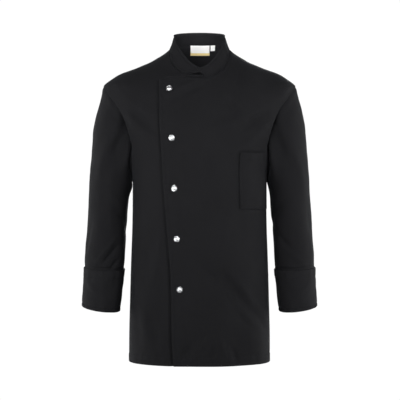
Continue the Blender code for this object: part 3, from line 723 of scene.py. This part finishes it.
def side_x(face, z):
    if ARMPIT_Z <= z <= TIP_Z:
        return float(column(ARMHOLE, FACE[face] + "_x", z))
    return float(half_width(face, z))


def roundness(row):
    return float(np.clip((row.side_z - TIP_Z) / -TIP_Z, 0.0, 1.0)) ** 2


def row_levels(face, row, x):
    spread = np.arcsin(np.clip(np.abs(x) / side_x(face, row.side_z), 0.0, 1.0)) / (math.pi / 2)
    flat_ends = 1 - (1 - spread ** 2) ** 3
    elliptic = 1 - np.cos(spread * math.pi / 2)
    share = roundness(row)
    middle = getattr(row, FACE[face] + "_z")
    return middle + (row.side_z - middle) * ((1 - share) * flat_ends + share * elliptic)


def flap_levels(row, x):
    return row.front_z - FLAP_DROOP * roundness(row) * (x / FLAP_EDGE[-1].x) ** 2


def row_index(rows, z):
    """The first row whose side is this high."""
    return next(i for i, row in enumerate(rows) if row.side_z >= z - 1e-9)


def row_places():
    """Fine places along the table of rows: close together at the hem and the neckline."""
    places = []
    armpit = row_index(ROWS, ARMPIT_Z)
    for i in range(len(ROWS) - 1):
        height = ROWS[i + 1].side_z - ROWS[i].side_z
        count = SUB if i >= armpit else int(round(height / CELL))
        steps = list(np.arange(count) / count)
        if i == 0:
            steps = [d / 0.040 for d in NEAR_EDGE] + [s for s in steps if s > 0.12]
        if i == len(ROWS) - 2:
            steps = [s for s in steps if s < 0.6] + [1 - d / 0.0104 for d in NEAR_EDGE[:0:-1]]
        places += [i + s for s in steps]
    return places + [len(ROWS) - 1.0]


def row_at(place):
    index = min(int(place), len(ROWS) - 2)
    return Row(*[a + (b - a) * (place - index) for a, b in zip(ROWS[index], ROWS[index + 1])])


FINE_ROWS = [row_at(place) for place in row_places()]
SIDE_ROW = row_index(FINE_ROWS, ARMPIT_Z)
TIP_ROW = row_index(FINE_ROWS, TIP_Z)
ARMHOLE_ROWS = slice(SIDE_ROW, TIP_ROW + 1)


def side_run(face, row, start_x):
    edge = side_x(face, row.side_z)
    return edge * np.sin(np.linspace(math.asin(start_x / edge), math.pi / 2, SAMPLES))


def split_x(row):
    return min(POCKET_LINE, 0.6 * side_x(FRONT, row.side_z))


def left_row(row):
    """x and z of fine points along one row of a panel."""
    level = row.front_z - FLAP_DROOP * roundness(row)
    split = split_x(row)
    x = np.linspace(float(column(FLAP_EDGE, "x", level)), split, SAMPLES)[:-1]
    x = np.concatenate([x, side_run(FRONT, row, split)])
    return x, np.where(x < 0, flap_levels(row, x), row_levels(FRONT, row, x))


def right_row(row):
    end = min(UNDERLAP_X, SHORT_EDGE * side_x(FRONT, row.side_z))
    split = split_x(row)
    x = np.concatenate([-side_run(FRONT, row, split)[::-1][:-1], np.linspace(-split, end, SAMPLES)])
    return x, row_levels(FRONT, row, x)


def back_row(row):
    run = side_run(BACK, row, 0.0)
    x = np.concatenate([-run[::-1][:-1], run])
    return x, row_levels(BACK, row, x)


def pocket_row(row):
    x = side_run(FRONT, row, split_x(row))
    return x, row_levels(FRONT, row, x)


Bare = namedtuple("Bare", "face grid edge around")


def body_grid(face, row_maker, length, rows=FINE_ROWS, reach=1.0):
    """The bare grid of a panel of about this length, with each row's side place and roundness."""
    shares = shares_for(length) * reach
    grid = np.array([resample(body_points(face, *row_maker(row)), shares) for row in rows])
    edge = np.array([side_x(face, row.side_z) for row in rows])[:, None]
    return Bare(face, grid, edge, np.array([roundness(row) for row in rows])[:, None])


def common_relief(face, grid, edge, around):
    """The folds and unevenness that every layer of one face shares, from a point's place alone."""
    x, z = grid[..., 0], grid[..., 2]
    folds, creases = (FRONT_FOLDS, FRONT_CREASES) if face == FRONT else (BACK_FOLDS, BACK_CREASES)
    inside = edge - np.abs(x)
    fade = smoothstep(0.0, 0.030, inside) * (1 - around)
    close = smoothstep(0.0, 0.012, inside) * (1 - 0.6 * around)
    height = relief(folds, x, z) * fade + relief(creases, x, z) * close
    height += BROAD_HEIGHT * uneven(BROAD, x + 0.31 * face, z) * fade
    return height + MIDDLE_HEIGHT * uneven(MIDDLE, x + 0.17 * face, z) * close


def weave_place(face, grid):
    """Where a body panel's points lie on the flat cloth."""
    x, y, z = np.moveaxis(grid, -1, 0)
    reach = depth(face, z)
    across = np.sign(x) * (np.abs(x) + STEEP_U * (reach - np.abs(y)))
    return np.stack([across, z + STEEP_V * (GIRTHS[0].front - reach)], axis=-1)


def panel(name, bare, extra, sides, wear_and_painted_light, wall=CLOTH, inside=None):
    """Moves a panel's grid out by all its relief, keeps its gap at the side seams, and makes its wall."""
    normals = body_normals(bare.face, bare.grid)
    skin = bare.grid + normals * (common_relief(*bare) + extra)[..., None]
    for side in sides:
        skin[:, side, 1] += bare.face * SEAM
    facing = grid_normals(skin, normals)
    for side in sides:
        facing[:, side] = normals[:, side]
    shell(name, skin, facing, wall, wear_and_painted_light, weave=weave_place(bare.face, bare.grid), inside=inside)
    return skin, facing


# ---- relief of seams and edges ----
def lifted_left(points, edge):
    start = np.minimum(UNDERLAP_X, SHORT_EDGE * edge)
    return LAP_LIFT * (1 - smoothstep(start, np.minimum(LIFT_END_X, 0.97 * edge), points[..., 0]))


def sewn_edge(distance, along):
    """A seam pulls the cloth in along its edge and puckers it a little beside it."""
    gather = 0.00035 * uneven(PUCKER, along, along * 0.3) * bump(distance, 0.006, 0.006)
    return gather - SEAM_DIP * bump(distance, 0.0, SEAM_WIDTH)


def turned_edge(distance, along, stitch):
    """A turned and topstitched edge: fuller up to its stitches, drawn in along them."""
    full = 0.00060 * (1 - smoothstep(stitch * 0.9, stitch * 1.15, distance))
    gather = 0.00040 * uneven(PUCKER, along, along * 0.2) * bump(distance, stitch * 0.6, stitch * 0.7)
    return full + gather - 0.00090 * bump(distance, stitch, 0.0014)


def felled(distance, first=SIDE_ROW, last=TIP_ROW):
    """A felled armhole seam: a slightly raised band with a groove where its stitches run."""
    band = 0.00045 * (1 - smoothstep(0.0070, 0.0085, distance)) * smoothstep(0.0, 0.0015, distance)
    height = band - 0.00055 * bump(distance, ARMHOLE_STITCH, 0.0012)
    height[:first] = 0.0
    height[last + 1:] = 0.0
    return height


def armhole_roll(distance, z):
    """The cloth rolls in toward the lower half of an armhole, which hangs in a deep crease."""
    share = smoothstep(-0.120, -0.175, z) * smoothstep(ARMPIT_Z + 0.030, ARMPIT_Z + 0.075, z)
    return -ARMHOLE_ROLL * share * bump(distance, 0.0, 0.0044)


def neck_groove(top, x):
    """A groove and a low ridge in the fronts just below the collar's seam, gone before the shoulder line."""
    groove = 0.0024 * bump(top, 0.0024, 0.0018) * smoothstep(0.0, 0.0014, top)
    return (0.0009 * bump(top, 0.0068, 0.0028) - groove) * (1 - smoothstep(0.0620, 0.0722, np.abs(x)))


def worn_map(*distances):
    return np.exp(-least(*distances) / WORN_REACH)


def pocket_dent(x, z):
    """The front is drawn in just outside the pocket's sewn edges."""
    beside = bump(x, POCKET_LINE - 0.0014, 0.0020) * smoothstep(POCKET_LOW_Z - 0.003, POCKET_LOW_Z, z)
    beside = beside * smoothstep(POCKET_HIGH_Z + 0.003, POCKET_HIGH_Z, z) * 0.55
    along = smoothstep(POCKET_LINE - 0.003, POCKET_LINE, x) * smoothstep(0.1625, 0.1540, x)
    below = bump(z, POCKET_LOW_Z - 0.0014, 0.0020) * along
    above = bump(z, POCKET_HIGH_Z + 0.0014, 0.0020) * along * (1.0 + 0.25 * smoothstep(0.115, 0.140, x))
    return -POCKET_DENT * np.maximum(np.maximum(beside, below), above)


def stud_place(share):
    """x and z of a stud, from 0 at the highest to 1 at the lowest."""
    return np.array(SNAP_TOP) + (np.array(SNAP_BOTTOM) - np.array(SNAP_TOP)) * share


def stud_dents(x, z):
    """A ring pressed into the cloth round each stud."""
    dents = np.zeros_like(x)
    for share in np.linspace(0.0, 1.0, SNAP_COUNT):
        place = stud_place(share)
        away = np.hypot(x - place[0], z - place[1])
        dents -= 0.0010 * bump(away, 0.0082, 0.0022) - 0.0005 * bump(away, 0.0150, 0.0050)
    return dents


def ledge(x, z):
    """The under layers roll up just above the flap's free top edge, with a dark line at its foot."""
    line = flap_levels(ROWS[-1], x)
    near = smoothstep(-0.086, -0.070, x) * (1 - smoothstep(0.012, 0.022, x))
    return near * (LEDGE_RISE * bump(z, line + 0.0058, 0.0024) - LEDGE_DIP * bump(z, line + 0.0010, 0.0016))


# ---- the body's panels ----
def front_left():
    bare = body_grid(FRONT, left_row, length=0.300)
    grid, edge = bare.grid, bare.edge
    flap, side, hem, top = seam_lines(grid)
    z, x = grid[..., 2], grid[..., 0]
    free_top = 1 - smoothstep(-0.010, 0.022, x)
    extra = lifted_left(grid, edge) + sewn_edge(side, z) + felled(side) + armhole_roll(side, z)
    extra += pocket_dent(x, z) + stud_dents(x, z)
    extra += turned_edge(flap, z, EDGE_STITCH) + turned_edge(hem, x, HEM_STITCH)
    extra += (sewn_edge(top, x) + neck_groove(top, x)) * (1 - free_top)
    extra += 0.0012 * bump(top, 0.0030, 0.0026) * free_top
    surface = panel("jacket_front_left", bare, extra, [-1], worn_map(flap, hem, top))
    sew(surface, (EDGE_STITCH, START), (HEM_STITCH, LOW))
    sew(surface, (ARMHOLE_STITCH, END), rows=ARMHOLE_ROWS)
    return surface


def front_right():
    bare = body_grid(FRONT, right_row, length=0.270)
    side, under, hem, top = seam_lines(bare.grid)
    z, x = bare.grid[..., 2], bare.grid[..., 0]
    extra = sewn_edge(side, z) + felled(side) + armhole_roll(side, z)
    extra += turned_edge(hem, x, HEM_STITCH) + sewn_edge(top, x) + neck_groove(top, x)
    deep = 0.0034 + 0.0016 * smoothstep(-0.30, -0.60, z)
    extra -= deep * bump(x, column(FLAP_EDGE, "x", z) - 0.0020, 0.0028) * smoothstep(-0.077, -0.086, z)
    extra += ledge(x, z)
    surface = panel("jacket_front_right", bare, extra, [0], worn_map(under, hem, top))
    sew(surface, (HEM_STITCH, LOW))
    sew(surface, (ARMHOLE_STITCH, START), rows=ARMHOLE_ROWS)


def back():
    bare = body_grid(BACK, back_row, length=0.440)
    left, right, hem, top = seam_lines(bare.grid)
    z, x = bare.grid[..., 2], bare.grid[..., 0]
    extra = sewn_edge(left, z) + sewn_edge(right, z) + sewn_edge(top, x)
    extra += turned_edge(hem, x, HEM_STITCH) + armhole_roll(least(left, right), z)
    for seam in (left, right):
        extra += felled(seam) + felled(seam, TIP_ROW, len(z))
    wear_and_painted_light = worn_map(hem, top)
    # painted light: the back's inner side is painted paler towards the neck, standing in for light that the
    # shaded neck opening lacks
    inside = wear_and_painted_light + NECK_PAINTED_LIGHT * smoothstep(-0.050, -0.025, z)
    surface = panel("jacket_back", bare, extra, [0, -1], wear_and_painted_light, inside=inside)
    sew(surface, (HEM_STITCH, LOW))
    sew(surface, (ARMHOLE_STITCH, START), (ARMHOLE_STITCH, END), rows=slice(SIDE_ROW, None))
    return surface


def pocket():
    """The chest pocket: the left front's own place moved out, with its hem, stitched edges and bar tack."""
    rows = [Row(z, z, z) for z in places_between(POCKET_LOW_Z, POCKET_HIGH_Z)]
    bare = body_grid(FRONT, pocket_row, length=0.125, rows=rows, reach=POCKET_END_SHARE)
    inner, outer, low, high = seam_lines(bare.grid)
    cloth = POCKET_CLOTH * (1 - POCKET_THINNING * smoothstep(0.050, 0.012, outer))
    near = least(inner, outer, low)
    bag = POCKET_BAG * smoothstep(0.003, 0.022, near) * (0.6 + 0.4 * smoothstep(0.0, 0.05, low))
    bag *= smoothstep(0.010, 0.055, outer)
    gape = POCKET_GAPE * bump(high, 0.0, 0.016) * smoothstep(0.010, 0.045, least(inner, outer))
    out = POCKET_GAP + cloth + bag + gape - POCKET_PRESS * cloth * bump(near, POCKET_STITCH, 0.0013)
    out += turned_edge(high, bare.grid[..., 0], HEM_STITCH)
    wall = np.clip(out - POCKET_GAP, POCKET_THINNEST, cloth)
    out = lifted_left(bare.grid, bare.edge) + out
    skin, normals = panel("jacket_chest_pocket", bare, out, [], worn_map(inner, low, high), wall)
    seams = [(POCKET_STITCH, border) for border in (START, END, LOW)]
    sew((skin, normals), *seams, (HEM_STITCH, HIGH))
    top = line_at(skin, POCKET_STITCH, START)[-1]
    facing = unit(line_at(normals * 0.01 + skin, POCKET_STITCH, START)[-1] - top)
    tack = np.array([top - np.array([0, 0, TACK_DOWN]), line_at(skin, TACK_ACROSS, START)[-1]])
    SEWN.append((tack - facing * 0.0001, np.array([facing, facing])))


# ---- collar ----
def collar_top(face, degrees):
    turn = math.radians(abs(degrees))
    sign = math.copysign(1.0, degrees)
    if face == BACK:
        top_z = COLLAR_SIDE_TOP_Z + (COLLAR_BACK_TOP_Z - COLLAR_SIDE_TOP_Z) * math.cos(turn)
        return np.array([sign * COLLAR_TOP_HALF * math.sin(turn), COLLAR_BACK_Y * math.cos(turn), top_z])
    drop = COLLAR_SIDE_TOP_Z - COLLAR_FRONT_TOP_Z
    cosine = max(math.cos(turn), 0.0)
    x = sign * COLLAR_TOP_HALF * math.sin(turn) ** COLLAR_V + COLLAR_SHIFT * cosine ** 2
    return np.array([x, COLLAR_FRONT_Y * cosine, COLLAR_SIDE_TOP_Z - drop * cosine ** COLLAR_V])


def neck_base(face, degrees):
    x = np.array([NECK_HALF * math.sin(math.radians(degrees))])
    z = row_levels(BACK, ROWS[-1], x) if face == BACK else ROWS[-1].front_z * np.cos(np.radians([degrees]))
    return body_points(face, x, z)[0]


CollarPlace = namedtuple("CollarPlace", "face degrees low high top_lift base_lift under")


def collar_line():
    """Places along the band: its right end lies under, it runs round the back, its left end crosses over."""
    line = []
    for degrees in np.arange(UNDER_END_DEG, -90.0, -1.5):
        high = 1.0 - 0.5 * max(degrees, 0.0) / UNDER_END_DEG
        line.append(CollarPlace(FRONT, degrees, 0.0, high, 0.0, 0.0, 1.0))
    line += [CollarPlace(BACK, degrees, 0.0, 1.0, 0.0, 0.0, 0.0) for degrees in np.arange(-90.0, 90.0, 1.5)]
    for degrees in np.arange(90.0, TONGUE[0].degrees - 0.01, -1.0):
        low, high = (float(column(TONGUE, name, degrees, "degrees")) for name in ("low", "high"))
        base_lift = LAP_LIFT * (1 - smoothstep(8.0, 16.0, degrees))
        top_lift = max(LAP_LIFT * (1 - smoothstep(30.0, 80.0, degrees)), base_lift)
        line.append(CollarPlace(FRONT, degrees, low, high, top_lift, base_lift, 0.0))
    return line


def collar():
    heights = shares_for(length=0.062)
    line = collar_line()
    columns = []
    for place in line:
        top = collar_top(place.face, place.degrees)
        base = neck_base(place.face, place.degrees)
        start = base + unit(top - base) * JOIN
        columns.append(start + (top - start) * (place.low + (place.high - place.low) * heights)[:, None])
    grid = np.swapaxes(np.array(columns), 0, 1)
    level = np.array([1.0, 1.0, 0.0])
    normals = grid_normals(grid, grid * level)
    lifts = np.array([[p.base_lift + (p.top_lift - p.base_lift) * h for p in line] for h in heights])
    grid = grid + normals * lifts[..., None]
    last, low, high = seam_lines(grid)[1:]
    across, z = grid[..., 0], grid[..., 2]
    along = across + grid[..., 1]
    extra = 1.7 * turned_edge(high, along, COLLAR_STITCH) + 0.7 * sewn_edge(low, along)
    extra += 0.0007 * bump(low, 0.0048, 0.0026) + turned_edge(last, z, COLLAR_STITCH)
    extra += 0.00035 * uneven(MIDDLE, along, z) * smoothstep(0.0, 0.010, least(low, high))
    hollow = bump(across, -0.001, 0.016) * bump(z, HOLLOW_Z, 0.0042)
    extra += np.array([p.under for p in line]) * (ledge(across, z) - HOLLOW_DEPTH * hollow)
    skin = grid + normals * extra[..., None]
    normals = grid_normals(skin, skin * level)
    normals[0, :, 2] = np.minimum(normals[0, :, 2], 0.0)
    normals = unit(normals)
    wear_and_painted_light = worn_map(high, last)
    # painted light: the collar's whole inner side is painted paler, standing in for light inside the shaded
    # neck
    shell("jacket_collar", skin, normals, COLLAR_CLOTH, wear_and_painted_light, inside=wear_and_painted_light + NECK_PAINTED_LIGHT)
    sew((skin, normals), (COLLAR_STITCH, HIGH))
    sew((skin, normals), (COLLAR_STITCH, LOW), cut=0.80)


# ---- sleeves and cuffs ----
def armhole_loop(front, back):
    """The armhole's edge on the wearer's left, from the shoulder tip down the front and up the back."""
    ahead, behind = ([grid[ARMHOLE_ROWS, -1] for grid in surface] for surface in (front, back))
    loop, outward = (np.concatenate([down[::-1], up[1:-1]]) for down, up in zip(ahead, behind))
    loop[[0, TIP_ROW - SIDE_ROW], 1] = 0.0
    tangent = unit(np.roll(loop, -1, axis=0) - np.roll(loop, 1, axis=0))
    away = unit(np.cross(tangent, outward))
    return loop, away * (-1.0 if away[0, 0] < 0 else 1.0), unit(outward)


def ring_points(rings, place, angles):
    """Points round a sleeve or cuff at a place between its rings, with that ring's numbers."""
    numbers = [float(curve(np.arange(len(rings)), values, place)) for values in zip(*rings)]
    ring = type(rings[0])(*numbers)
    outer = np.array([ring.outer_x, ring.middle_y, ring.outer_z])
    inner = np.array([ring.inner_x, ring.middle_y, ring.inner_z])
    forward = np.array([0.0, -ring.depth, -ring.front_drop])
    across = (outer + inner) / 2 + np.outer(np.cos(angles), (outer - inner) / 2)
    return across + np.outer(np.sin(angles), forward), ring


def tube_normals(skin):
    around = np.roll(skin, -1, axis=1) - np.roll(skin, 1, axis=1)
    normals = unit(np.cross(around, np.gradient(skin, axis=0)))
    centre = skin.mean(axis=1, keepdims=True)
    return normals * np.sign(np.sum(normals * (skin - centre), axis=(1, 2)))[:, None, None]


def cuff_grid(angles, places):
    return np.array([ring_points(CUFF_RINGS, place, angles)[0] for place in places])


def tube_shell(name, side, skin, normals, wall, wear_and_painted_light):
    """The wall of a sleeve or cuff on its side of the body."""
    surface = [part * np.array([side, 1.0, 1.0]) for part in (skin, normals)]
    shell(name, *surface, wall, wear_and_painted_light, closed=True)
    return surface


def sleeve(side, word, loop, away, outward):
    angles = np.arange(len(loop)) * 2 * math.pi / len(loop)
    settle = loop + away * JOIN - ring_points(SLEEVE_RINGS, 0.0, angles)[0]
    beyond = math.pi - np.abs(angles - math.pi) - math.radians(CREASE_FROM_DEG)
    round_fold = np.sin(np.clip(beyond / math.radians(CREASE_SPAN_DEG), 0, 1) * math.pi) ** 2
    places = [0.0, 0.012, 0.035, 0.07, 0.12, 0.19, 0.28, 0.40]
    for i in range(len(SLEEVE_RINGS) - 1):
        count = 6 if i < 4 else 11
        places += [i + k / count for k in range(count) if i + k / count > 0.45]
    places.append(len(SLEEVE_RINGS) - 1.0)
    skin = []
    for place in places:
        points, ring = ring_points(SLEEVE_RINGS, place, angles)
        points = points + settle * ring.seam
        inward = unit(points.mean(axis=0) - points)
        skin.append(points + inward * (ring.crease * GROOVE * round_fold)[:, None])
    hidden = cuff_grid(angles, np.linspace(0.0, len(CUFF_RINGS) - 1.0, 25))
    hidden = hidden - tube_normals(hidden) * (CUFF_CLOTH + CUFF_GAP)
    hidden[-1] += unit(hidden[-2] - hidden[-1]) * SLEEVE_SHORT
    skin = np.concatenate([np.array(skin), hidden])
    normals = tube_normals(skin)
    down = arcs(skin, 0)
    z = skin[..., 2]
    turns = np.broadcast_to(angles, z.shape)
    uncovered = 1 - smoothstep(len(places) - 4, len(places) + 1, np.arange(len(skin)))[:, None]
    shown = smoothstep(0.0, 0.030, down) * uncovered
    height = tube_relief(SLEEVE_FOLDS[word], angles, z) * shown
    height += 0.0011 * uneven(BROAD, np.sin(turns) * 0.065 + 0.4 * side, z) * shown
    height += 0.00025 * uneven(MIDDLE, turns * 0.060 + side, z) * shown
    easing = 0.0010 * bump(down, 0.010, 0.007) * (0.6 + 0.4 * np.cos(turns))
    gather = 0.00045 * uneven(PUCKER, turns * 0.075, z * 0.2) * bump(down, 0.007, 0.007)
    turn = 180.0 - np.abs(np.degrees(angles) - 180.0)
    crease = smoothstep(58.0, 88.0, turn) * (1 - smoothstep(148.0, 172.0, turn))
    crease = crease * np.where(angles < math.pi, 1.0, 0.6)
    turn_in = ARMHOLE_CREASE * np.exp(-down / CREASE_REACH) * smoothstep(0.0, 0.0036, down)
    to_cuff = down[len(places) - 1][None, :] - down
    bulge = CUFF_BULGE * bump(to_cuff, 0.0070, 0.0038) - CUFF_DIP * bump(to_cuff, 0.0016, 0.0020)
    bulge = bulge * (to_cuff > 0.0)
    height += easing * (1 - crease) + gather - crease * turn_in + bulge * np.sin(angles) ** 2
    skin = skin + normals * height[..., None]
    normals = tube_normals(skin)
    normals[0] = outward
    tube_shell("jacket_sleeve_" + word, side, skin, normals, CLOTH, np.zeros(z.shape))


def cuff(side, word, count):
    angles = np.arange(count) * 2 * math.pi / count
    first = [0.0, 0.008, 0.02, 0.04, 0.065]
    last = [2.80, 2.87, 2.92, 2.96, 2.985, 3.0]
    skin = cuff_grid(angles, np.concatenate([first, np.linspace(0.10, 2.72, 38), last]))
    normals = tube_normals(skin)
    down, up = seam_lines(skin)[2:]
    z = skin[..., 2]
    turns = np.broadcast_to(angles, z.shape)
    height = tube_relief(CUFF_FOLDS[word], angles, z) + 0.0004 * uneven(MIDDLE, turns * 0.060 + side * 2, z)
    height += 0.9 * turned_edge(down, turns * 0.06, CUFF_TOP_STITCH)
    height += 1.2 * turned_edge(up, turns * 0.06, CUFF_LOW_STITCH)
    height = np.maximum(height, -0.0004 - 0.0006 * smoothstep(0.0, 0.006, least(down, up)))
    skin = skin + normals * height[..., None]
    # painted light: besides their worn edges, the cuffs are painted paler all over, standing in for light on
    # their shaded inner sides
    wear_and_painted_light = worn_map(down, up) + CUFF_PAINTED_LIGHT
    surface = tube_shell("jacket_cuff_" + word, side, skin, tube_normals(skin), CUFF_CLOTH, wear_and_painted_light)
    ring = [np.concatenate([grid, grid[:, :1]], axis=1) for grid in surface]
    sew(ring, (CUFF_TOP_STITCH, LOW), (CUFF_LOW_STITCH, HIGH))


# ---- press-studs and labels ----
def circle(radius, height, sides):
    turns = [2 * math.pi * k / sides for k in range(sides)]
    return [(radius * math.cos(turn), radius * math.sin(turn), height) for turn in turns]


def press_stud(number, skin, normals):
    """A domed cap with a rolled rim, lying on the lapped front."""
    x, z = stud_place((number - 1) / (SNAP_COUNT - 1))
    flat = (skin[..., 0] - x) ** 2 + (skin[..., 2] - z) ** 2
    spot = np.unravel_index(np.argmin(flat), flat.shape)
    normal, near = normals[spot], skin[spot]
    y = near[1] - (normal[0] * (x - near[0]) + normal[2] * (z - near[2])) / normal[1]
    rolled = ((0.6, 0.0), (0.0, 0.5), (0.0, 1.1), (0.45, 1.55), (1.0, 1.3), (1.3, 0.7))
    profile = [(SNAP_RADIUS - SNAP_RIM * inwards, SNAP_RIM * up) for inwards, up in rolled]
    # painted shade: the ring between the rolled rim and the dome is to be painted near black
    dark = (len(profile) - 1, len(profile))
    dome = SNAP_RADIUS - SNAP_RIM * 2.3
    foot = SNAP_RIM * 0.7
    for degrees in (3, 10, 19, 30, 42, 56, 72):
        turn = math.radians(degrees)
        profile.append((dome * math.cos(turn), foot + (SNAP_HEIGHT - foot) * math.sin(turn)))
    verts = [vert for radius, height in profile for vert in circle(radius, height, SNAP_SIDES)]
    steps = [(k, (k + 1) % SNAP_SIDES) for k in range(SNAP_SIDES)]
    last = (len(profile) - 1) * SNAP_SIDES
    faces = []
    for s in range(0, last, SNAP_SIDES):
        faces += [(s + k, s + n, s + SNAP_SIDES + n, s + SNAP_SIDES + k) for k, n in steps]
    top, low = len(verts), len(verts) + 1
    verts += [(0.0, 0.0, SNAP_HEIGHT), (0.0, 0.0, 0.0)]
    faces += [(last + k, last + n, top) for k, n in steps] + [(n, k, low) for k, n in steps]
    turned = Vector(normal).to_track_quat("Z", "Y")
    name = "stud_%d" % number
    mesh = add_piece(name, [turned @ Vector(v) for v in verts], faces, STEEL, "stud_metal", Vector((x, y, z)))
    # painted shade: marks that ring for the near-black colour
    groove = np.repeat([float(s in dark) for s in range(len(profile))], SNAP_SIDES)
    paint(mesh, "groove", np.append(groove, [0.0, 0.0]))
    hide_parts("snap_%d" % number)


def woven_label(name, label, finish, slot):
    x, levels = places_between(*label[:2]), places_between(*label[2:])
    grid = np.array([body_points(BACK, x, np.full_like(x, z)) for z in levels])
    normals = body_normals(BACK, grid)
    skin = grid - normals * (CLOTH + LABEL_GAP + LABEL_CLOTH)
    first, last, low = seam_lines(skin)[:3]
    lift = 0.0005 * bump(low, 0.0, 0.004) - 0.0003 * bump(least(first, last), 0.0015, 0.0012)
    skin = skin - normals * lift[..., None]
    band = low / low.max()
    shell(name, skin, -normals, LABEL_CLOTH, np.zeros(low.shape), band=band, finish=finish, slot=slot)


# ---- dressing the frame ----
lapped = front_left()
front_right()
behind = back()
pocket()
collar()
loop, away, outward = armhole_loop(lapped, behind)
for side, word in ((1.0, "left"), (-1.0, "right")):
    sleeve(side, word, loop, away, outward)
    cuff(side, word, len(loop))
for number in range(1, SNAP_COUNT + 1):
    press_stud(number, *lapped)
woven_label("neck_label_ribbon", LABELS[0], WHITE, "label_white")
woven_label("size_tag_ribbon", LABELS[1], PLAIN, "tag_white")
stitches("jacket_stitching")

# each sheet's own lengths: width and length in metres, and area in square metres where it isn't a rectangle
Cut = namedtuple("Cut", "piece solid width length area rests_on")
CUTS = [
    Cut("jacket_front_left", "front_left", 0.341, 0.804, 0.238, []),
    Cut("jacket_front_right", "front_right", 0.318, 0.790, 0.215, []),
    Cut("jacket_back", "back", 0.525, 0.829, 0.380, []),
    Cut("jacket_chest_pocket", "chest_pocket", 0.144, 0.134, 0.0168, ["jacket_front_left"]),
    Cut("jacket_collar", "collar", 0.600, 0.050, 0.0195, []),
    Cut("jacket_sleeve_left", "sleeve_left", 0.460, 0.540, 0.167, []),
    Cut("jacket_sleeve_right", "sleeve_right", 0.460, 0.540, 0.167, []),
    Cut("jacket_cuff_left", "cuff_left", 0.350, 0.100, 0.0328, []),
    Cut("jacket_cuff_right", "cuff_right", 0.350, 0.100, 0.0328, []),
    Cut("neck_label_ribbon", "neck_label", 0.0474, 0.0264, None, ["jacket_back"]),
    Cut("size_tag_ribbon", "size_tag", 0.0120, 0.0141, None, ["jacket_back"]),
]
for cut in CUTS:
    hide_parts(cut.solid)

# ---- floor, light and camera ----
FLOOR_Z = -2.20
FLOOR_RADIUS = 10.8
FLOOR_SIDES = 96
LENS = 147.2
CAMERA = (0.0012, -4.0, -0.3668)
ROOM = 1.02               # brightness of the white room
DIM = 0.28                # its floor's and ceiling's share of that

Lamp = namedtuple("Lamp", "name azimuth rise reach aim_z width height power spread")
LAMPS = [
    Lamp("front", -10, 10, 1.7, -0.17, 0.6, 0.6, 5.3, 90),
    Lamp("front_left", -35, 10, 1.7, -0.17, 0.6, 0.6, 2.5, 90),
    Lamp("front_right", 40, 10, 1.7, -0.17, 0.6, 0.6, 2.9, 90),
    Lamp("low_left", -60, -30, 1.8, -0.50, 0.6, 0.6, 1.4, 90),
    Lamp("low_right", 60, -30, 1.8, -0.50, 0.6, 0.6, 1.9, 90),
    Lamp("side_left", -85, 0, 1.8, -0.40, 0.5, 1.2, 4.8, 120),
    Lamp("side_right", 85, 0, 1.8, -0.40, 0.5, 1.2, 6.2, 120),
    Lamp("rim_left", -110, 5, 2.0, -0.35, 0.8, 1.6, 15.0, 180),
    Lamp("rim_right", 110, 5, 2.0, -0.35, 0.8, 1.6, 15.0, 180),
    Lamp("rear", 168, 14, 1.9, -0.20, 0.8, 0.8, 9.0, 100),
]


def floor_disc():
    made, tree, shader = material("pale_floor")
    grain = node(tree, "TexNoise", {"Scale": 6.0}).outputs[0]
    colour = ramp(tree, grain, (0.0, (0.84, 0.84, 0.84)), (1.0, (0.87, 0.87, 0.87)))
    fill(tree, shader, {"Base Color": colour, "Roughness": 0.9})
    mesh = new_mesh("floor", circle(FLOOR_RADIUS, FLOOR_Z, FLOOR_SIDES), [tuple(range(FLOOR_SIDES))], made)
    floor = in_scene("floor", mesh)


def softbox(lamp):
    """An area light at an azimuth and rise about the jacket; azimuth 0 is straight in front."""
    light = bpy.data.lights.new(lamp.name, "AREA")
    light.shape = "RECTANGLE"
    light.size = lamp.width
    light.size_y = lamp.height
    light.energy = lamp.power
    light.spread = math.radians(lamp.spread)
    turn, rise = math.radians(lamp.azimuth), math.radians(lamp.rise)
    away = Vector((math.sin(turn) * math.cos(rise), -math.cos(turn) * math.cos(rise), math.sin(rise)))
    made = in_scene(lamp.name, light)
    made.location = Vector((0.0, 0.0, lamp.aim_z)) + away * lamp.reach
    made.rotation_mode = "QUATERNION"
    made.rotation_quaternion = (-away).to_track_quat("-Z", "Y")
    made.visible_camera = False


def surroundings():
    """A white room: bright all round at eye level, dimmer overhead and below."""
    world = bpy.data.worlds.new("studio")
    scene.world = world
    world.use_nodes = True
    tree = world.node_tree
    tree.nodes.clear()
    toward = node(tree, "TexCoord", {}).outputs["Generated"]
    height = plus(tree, node(tree, "SeparateXYZ", {0: toward}).outputs[2], 0.5, 0.5)
    stops = [(place, (share,) * 3) for place, share in
             ((0.0, DIM), (0.38, DIM), (0.41, 1.0), (0.57, 1.0), (0.62, DIM), (1.0, DIM))]
    glow = node(tree, "Background", {0: ramp(tree, height, *stops, interpolation="EASE"), 1: ROOM})
    node(tree, "OutputWorld", {0: glow.outputs[0]})


scene.view_settings.view_transform = "Standard"
scene.view_settings.look = "None"
floor_disc()
surroundings()
for lamp in LAMPS:
    softbox(lamp)

camera = in_scene("camera", bpy.data.cameras.new("camera"))
camera.data.lens = LENS
camera.data.sensor_width = 36.0
camera.location = CAMERA
camera.rotation_euler = (math.radians(90.0), 0.0, 0.0)
scene.camera = camera
